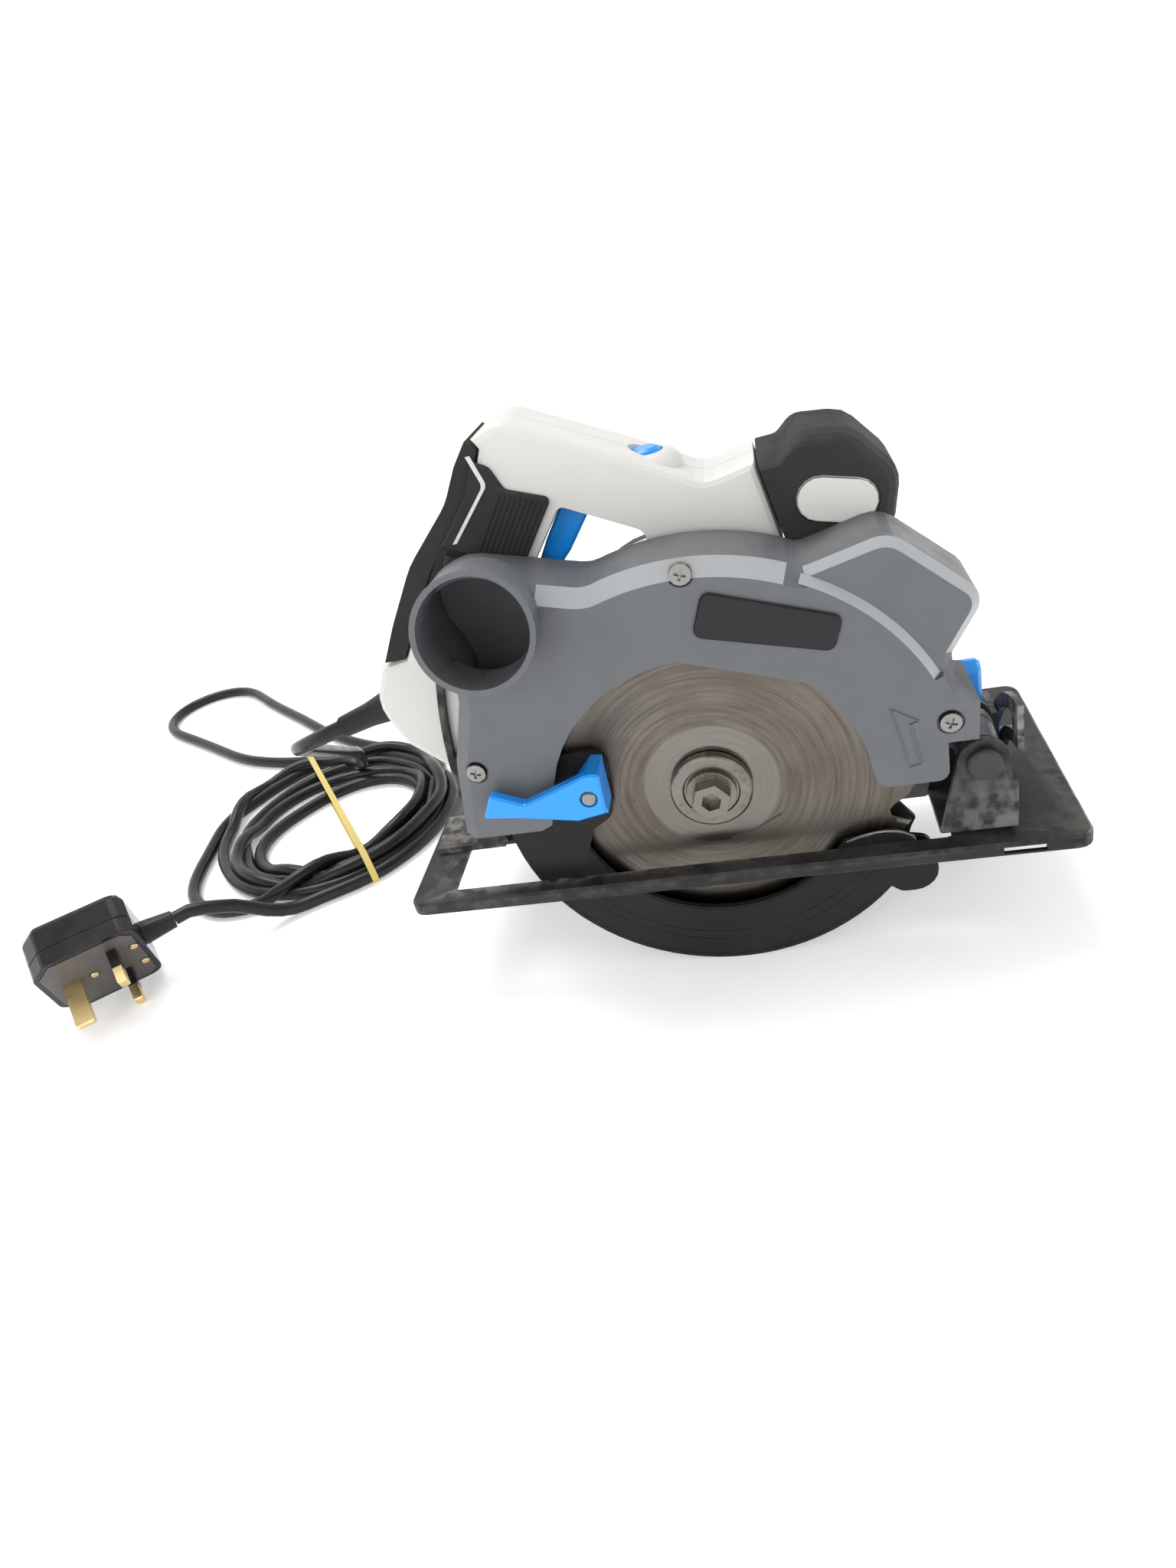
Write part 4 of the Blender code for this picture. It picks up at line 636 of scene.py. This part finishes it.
def make_lower_guard_details():
    for name, radius, start, end in RIDGES:
        path = [(x, SWING_NEAR, z) for x, z in arc((0.0, 0.0), radius, start, end, 60)]
        piece(tube_along(path, RIDGE_R, 8, flat=0.6), f"lower_guard_{name}", "inner", "lower_guard")
    lip = [(46.5, SWING_NEAR, -28.9), (52.0, SWING_NEAR, -26.9), (59.0, SWING_NEAR, -25.8),
           (65.5, SWING_NEAR, -26.6), (70.5, SWING_NEAR, -29.6)]
    piece(tube_along(smooth_line(lip, 1.0), 0.7, 8, flat=0.5), "lower_guard_bright_lip", "steel",
          "lower_guard")


# ---------------------------------------------------------------- handle
PAD_FACE = 20.0                        # the grip's near face
SKIN = (21.45, 21.95)                  # the rubber below the ribs, nearest and farthest
PAD_TOP = ((-55.6, 116.3), (-40.0, 110.4))
PAD_LEAN = Vector((-14.1, -20.4)).normalized()
RIBS = 10


def make_handle_details():
    top_left, top_right = (Vector(p) for p in PAD_TOP)
    for k in range(RIBS):
        start = top_left.lerp(top_right, k / (RIBS - 1)) + PAD_LEAN * 1.0
        reach = 22.0 if k < 4 else 22.0 + 1.4 * (k - 3)
        end = start + PAD_LEAN * reach
        bm = tube_along([(start.x, PAD_FACE, start.y), (end.x, PAD_FACE, end.y)], 0.62, 8)
        piece(bm, f"grip_rib_{k}", "rubber")
    line = turned([(-63.4, 130.0), (-60.2, 119.4, 3.0), (-76.5, 101.5)])
    left = [(x - 0.8, PAD_FACE - 0.15, z) for x, z in line]
    right = [(x + 0.8, PAD_FACE - 0.15, z) for x, z in line]
    piece(ribbon(left, right, 0.25), "grip_white_line", "white")
    skin = [(-82.4, 100.9), (-104.0, 71.0), (-66.0, 71.0), (-57.9, 83.6), (-62.9, 83.6), (-68.8, 93.8)]
    piece(prism(skin, *SKIN), "grip_skin", "rubber")
    boss = [(6.1, 108.0), (12.5, 108.0), (11.6, 113.2), (9.6, 115.4), (7.2, 116.3), (6.1, 116.1)]
    piece(ring_about((-5.4, 38.0), boss), "button_boss", "white")


def ring_about(centre, profile, steps=48):
    """A closed outline of (radius, z) turned about an upright axis."""
    bm = bmesh.new()
    loops = []
    for radius, z in profile:
        loops.append([bm.verts.new((centre[0] + radius * math.cos(2 * math.pi * k / steps),
                                    centre[1] + radius * math.sin(2 * math.pi * k / steps), z))
                      for k in range(steps)])
    for loop, other in zip(loops, loops[1:] + loops[:1]):
        for k in range(steps):
            j = (k + 1) % steps
            bm.faces.new((loop[k], other[k], other[j], loop[j]))
    return bm


# ---------------------------------------------------------------- cord
CORD_D = 7.0
FLOOR = -80.0
LAY = FLOOR + CORD_D / 2 + 0.2                  # the height of a cord's middle on the floor
HANK = (-237.0, 144.0, 78.0, 68.0, 111.0)       # centre x, y, half length, half width, turn
HANK_HOLE = (-222.0, 127.0, 46.0, 37.0, 47.0)
CORD_STEP = 7.0                                 # between neighbouring points of the cord
BEND_AIM = 40.0                                 # the bend radius that settling works towards
HELD_START = 26                                 # points held at the saw's end while it settles,
HELD_END = 5                                    # and at the plug's end
SINK = 0.25                                     # how far a free point drops in one pass
RELIEF_AT = (-127.0, 38.0, 36.0)
RELIEF_DROP = 16.0
RELIEF_LENGTH = 28.0


def relief_point(along):
    slope = math.radians(RELIEF_DROP)
    return (RELIEF_AT[0] - along * math.cos(slope), RELIEF_AT[1], RELIEF_AT[2] - along * math.sin(slope))


def on_ellipse(ellipse, angle):
    x, y, half_long, half_wide, turned = ellipse
    turn = math.radians(turned)
    u = half_long * math.cos(math.radians(angle - turned))
    v = half_wide * math.sin(math.radians(angle - turned))
    return np.array((x + u * math.cos(turn) - v * math.sin(turn),
                     y + u * math.sin(turn) + v * math.cos(turn)))


def in_hank(inward, angle, height):
    """A point of the hank: inward is 0 on its outer turn and 1 on its inner one."""
    plan = on_ellipse(HANK, angle) * (1.0 - inward) + on_ellipse(HANK_HOLE, angle) * inward
    return (plan[0], plan[1], FLOOR + CORD_D / 2 + height)


def turns(start, end, inward, height, step=24.0):
    """Turns of the hank between two angles, with inward and height eased along them."""
    count = max(2, int(abs(end - start) / step))
    points = []
    for k in range(count + 1):
        t = k / count
        points.append(in_hank(np.interp(t, *inward), start + (end - start) * t, np.interp(t, *height)))
    return points


PLUG_AT = Vector((-295.5, -2.5, FLOOR + 21.9))
PLUG_TURN = Matrix.Rotation(math.radians(36.0), 3, "Z") @ Matrix.Rotation(math.radians(-59.0), 3, "X")
SLEEVE_END, SLEEVE_Z = 37.0, 9.0
CORD_GAP = 0.6


def on_plug(x, y, z):
    """A place on the plug, whose pins point along its own -Z."""
    return tuple(PLUG_TURN @ Vector((x, y, z)) + PLUG_AT)


LOOP_END = (-405.0, 322.0)                      # the far loop turns round this place
LANDING = (-262.0, 164.0)                       # the lead comes down round this place


def cord_route():
    """The cord's way from the strain relief, round the hank and its far loop, to the plug."""
    route = [relief_point(RELIEF_LENGTH + CORD_GAP), relief_point(RELIEF_LENGTH + 12.0),
             (-181.0, 45.0, 18.0), (-194.0, 66.0, 7.0), (-204.0, 98.0, -11.0), (-214.0, 138.0, -34.0),
             (-222.0, 170.0, -52.0)]
    route += [(x, y, -62.0 - 2.0 * k) for k, (x, y) in enumerate(arc(LANDING, 40.0, 35.0, 125.0, 4))]
    route += turns(140.0, 150.0 + 720.0, ((0.0, 0.35, 1.0), (0.0, 0.25, 0.9)),
                   ((0.0, 0.2, 1.0), (7.0, 0.0, 0.0)))
    route += turns(150.0 + 744.0, 80.0 + 1080.0, ((0.0, 1.0), (0.82, 0.06)), ((0.0, 1.0), (3.0, 7.5)))
    route += [(-276.0, 248.0, LAY + 3.0), (-304.0, 274.0, LAY), (-346.0, 312.0, LAY)]
    route += [(x, y, LAY) for x, y in arc(LOOP_END, 33.0, 52.0, 232.0, 6)]
    route += [(-394.0, 272.0, LAY), (-360.0, 248.0, LAY), (-326.0, 226.0, LAY + 4.0)]
    route += turns(112.0, -62.0 - 360.0, ((0.0, 0.5, 1.0), (0.12, 0.45, 0.9)),
                   ((0.0, 0.3, 1.0), (10.0, 12.0, 12.0)))
    route += [(-212.0, 92.0, LAY + 14.0), (-232.0, 74.0, LAY + 13.0), (-252.0, 61.0, LAY + 4.0),
              (-273.0, 58.0, LAY), (-291.0, 68.0, LAY), (-301.0, 90.0, LAY), (-306.0, 116.0, LAY)]
    route += turns(180.0 - 720.0, -60.0 - 720.0, ((0.0, 0.5, 1.0), (0.0, 0.2, 0.0)),
                   ((0.0, 0.4, 1.0), (0.0, 9.0, 0.0)))
    route += [(-216.0, 61.0, LAY), (-232.0, 50.0, -70.0), (-247.0, 40.0, -60.0)]
    route += [on_plug(SLEEVE_END + 10.0, 0.0, SLEEVE_Z), on_plug(SLEEVE_END + CORD_GAP, 0.0, SLEEVE_Z)]
    return route


def smooth_line(points, step):
    """Evenly spaced points on a smooth curve through the given ones."""
    nodes = [np.array(p, dtype=float) for p in points]
    nodes = [2 * nodes[0] - nodes[1]] + nodes + [2 * nodes[-1] - nodes[-2]]
    dense = []
    for i in range(1, len(nodes) - 2):
        p0, p1, p2, p3 = nodes[i - 1:i + 3]
        for t in np.linspace(0.0, 1.0, 12, endpoint=False):
            dense.append(0.5 * (2 * p1 + (p2 - p0) * t + (2 * p0 - 5 * p1 + 4 * p2 - p3) * t * t
                                + (3 * p1 - p0 - 3 * p2 + p3) * t ** 3))
    dense = np.array(dense + [nodes[-2]])
    run = np.concatenate(([0.0], np.cumsum(np.linalg.norm(np.diff(dense, axis=0), axis=1))))
    count = int(round(run[-1] / step))
    wanted = np.linspace(0.0, run[-1], count + 1)
    return np.stack([np.interp(wanted, run, dense[:, k]) for k in range(3)], axis=1)


def settle(points, passes=90):
    """Lays the cord's turns on the floor and on each other, and eases its tightest bends.

    Each easing moves a point and its neighbours against each other, so the turns
    aren't drawn inwards and the cord keeps its length.
    """
    p = points.copy()
    count = len(p)
    fixed = np.zeros(count, dtype=bool)
    fixed[:HELD_START] = True
    fixed[-HELD_END:] = True
    index = np.arange(count)
    for _ in range(passes):
        p[~fixed, 2] -= SINK
        gap = p[:, None, :] - p[None, :, :]
        distance = np.linalg.norm(gap, axis=2)
        apart = np.abs(index[:, None] - index[None, :])
        near = (distance < CORD_D) & (apart > 3)
        push = np.where(near, (CORD_D - distance) * 0.5, 0.0)
        way = gap / np.maximum(distance, 0.01)[:, :, None]
        way[:, :, 2] += np.where(gap[:, :, 2] + 0.002 * (index[:, None] - index[None, :]) > 0, 0.8, -0.8)
        way /= np.maximum(np.linalg.norm(way, axis=2), 0.01)[:, :, None]
        move = np.clip((way * push[:, :, None]).sum(axis=1), -1.5, 1.5)
        p[~fixed] += move[~fixed] * 0.6
        for _ in range(8):
            bow = (p[:-2] + p[2:]) / 2 - p[1:-1]
            depth = np.linalg.norm(bow, axis=1)
            excess = np.maximum(depth - CORD_STEP ** 2 / 2 / BEND_AIM, 0.0) / np.maximum(depth, 0.01)
            shift = bow * (excess + 0.06)[:, None]
            p[1:-1] += shift * 0.5
            p[:-2] -= shift * 0.25
            p[2:] -= shift * 0.25
            p[fixed] = points[fixed]
            p[:, 2] = np.maximum(p[:, 2], LAY)
    return p


def make_cord():
    line = settle(smooth_line(cord_route(), CORD_STEP))
    curve = bpy.data.curves.new("cord", "CURVE")
    curve.dimensions = "3D"
    curve.bevel_depth = CORD_D / 2 * MM
    curve.bevel_resolution = 4
    curve.use_fill_caps = True
    spline = curve.splines.new("POLY")
    spline.points.add(len(line) - 1)
    for point, co in zip(spline.points, line):
        point.co = (*at(*co), 1.0)
    spline.use_smooth = True
    curve.materials.append(MATERIALS["cord"])
    cord = bpy.data.objects.new("cord", curve)
    bpy.context.collection.objects.link(cord)
    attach(cord, "saw_body")
    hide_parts("cord_lead", "cord_hank", "cord_loop", "cord_tail")
    return cord, line


BAND_AT = (-234.9, 145.5)
BAND_TURN = math.radians(-57.0)
BAND_REACH = 92.0                               # it takes in the turns this far to each side
BAND_HALF_WIDTH = 1.7
BAND_HALF_THICK = 0.45
BAND_LIFT = 24.0                                # the band holds what lies lower than this


def make_band(line):
    """A rubber band drawn tight over the hank, and back under it."""
    way = np.array((math.cos(BAND_TURN), math.sin(BAND_TURN)))
    off = line[:, :2] - np.array(BAND_AT)
    along = off @ way
    across = np.abs(off @ np.array((-way[1], way[0])))
    close = across < 5.0
    tops = sorted((a, z + CORD_D / 2 + 0.4) for a, z in zip(along[close], line[close, 2])
                  if abs(a) < BAND_REACH and z < FLOOR + BAND_LIFT)
    low, high = tops[0][0] - CORD_D / 2 - 0.5, tops[-1][0] + CORD_D / 2 + 0.5
    hull = []
    for a, z in [(low, FLOOR + 5.0)] + tops + [(high, FLOOR + 5.0)]:
        while len(hull) > 1 and ((hull[-1][1] - hull[-2][1]) * (a - hull[-2][0])
                                 <= (z - hull[-2][1]) * (hull[-1][0] - hull[-2][0])):
            hull.pop()
        hull.append((a, z))
    path = hull + [(high - 2.0, FLOOR + 0.5), (low + 2.0, FLOOR + 0.5)]
    points = [(BAND_AT[0] + way[0] * a, BAND_AT[1] + way[1] * a, z) for a, z in path]
    bm = bmesh.new()
    half = Vector((-way[1], way[0], 0.0)) * BAND_HALF_WIDTH
    rings = []
    for i, point in enumerate(points):
        here = Vector(point)
        ahead = (Vector(points[(i + 1) % len(points)]) - Vector(points[i - 1])).normalized()
        out = ahead.cross(half.normalized()) * BAND_HALF_THICK
        corners = ((-1, -1), (1, -1), (1, 1), (-1, 1))
        rings.append([bm.verts.new(here + half * u + out * v) for u, v in corners])
    for i, ring in enumerate(rings):
        other = rings[(i + 1) % len(rings)]
        for k in range(4):
            j = (k + 1) % 4
            bm.faces.new((ring[k], ring[j], other[j], other[k]))
    band = piece(bm, "rubber_band_tight", "latex")
    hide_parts("rubber_band")
    return band


PIN_X, PIN_Y = 8.7, 11.1                        # the live and neutral pins on the plug's face
PIN_HALF_X, PIN_HALF_Y = 2.15, 3.32
PIN_SLEEVE = (-9.5, -0.05)
PLUG_SCREWS = ((-3.5, 0.0), (17.5, -8.5), (17.5, 8.5))


def plug_piece(bm, name, look):
    """Carries a piece made in the plug's own frame to where the plug lies."""
    bmesh.ops.transform(bm, matrix=Matrix.Translation(PLUG_AT) @ PLUG_TURN.to_4x4(), verts=bm.verts)
    return piece(bm, name, look)


def rect(x, y):
    return [(x[0], y[0]), (x[1], y[0]), (x[1], y[1]), (x[0], y[1])]


def make_plug_details():
    parts = []
    for name, y in (("live", -PIN_Y), ("neutral", PIN_Y)):
        sides = rect((PIN_X - PIN_HALF_X, PIN_X + PIN_HALF_X), (y - PIN_HALF_Y, y + PIN_HALF_Y))
        bm = prism(sides, *PIN_SLEEVE, "Z")
        parts.append(plug_piece(bm, f"{name}_sleeve", "gloss"))
    for k, (x, y) in enumerate(PLUG_SCREWS):
        # A flat dark disc round each screw is painted shade, standing for the shade in the screw's recess.
        bm = bmesh.new()
        bmesh.ops.create_cone(bm, cap_ends=True, segments=24, radius1=2.5, radius2=2.5, depth=0.5)
        bmesh.ops.translate(bm, vec=(x, y, -0.25), verts=bm.verts)
        parts.append(plug_piece(bm, f"plug_screw_shade_disc_{k}", "carbon"))
        bm = bmesh.new()
        bmesh.ops.create_cone(bm, cap_ends=True, segments=24, radius1=1.6, radius2=1.9, depth=0.5)
        bmesh.ops.translate(bm, vec=(x, y, -0.65), verts=bm.verts)
        parts.append(plug_piece(bm, f"plug_screw_{k}", "brass"))
    outline = [(19.5, -18.5), (19.5, 18.5), (15.5, 22.5), (-16.0, 22.5), (-22.5, 15.0), (-22.5, -15.0),
               (-16.0, -22.5), (15.5, -22.5)]
    face = prism(outline, -0.35, 0.0, "Z")
    parts.append(plug_piece(face, "plug_pin_face", "pin_face"))
    return parts


# ---------------------------------------------------------------- build
def main():
    MATERIALS.update(make_materials())
    make_camera()
    make_stage()
    dress_nodes()
    make_guard_details()
    make_blade_details()
    make_lower_guard_details()
    make_handle_details()
    cord, line = make_cord()
    band = make_band(line)
    plug = make_plug_details()


main()
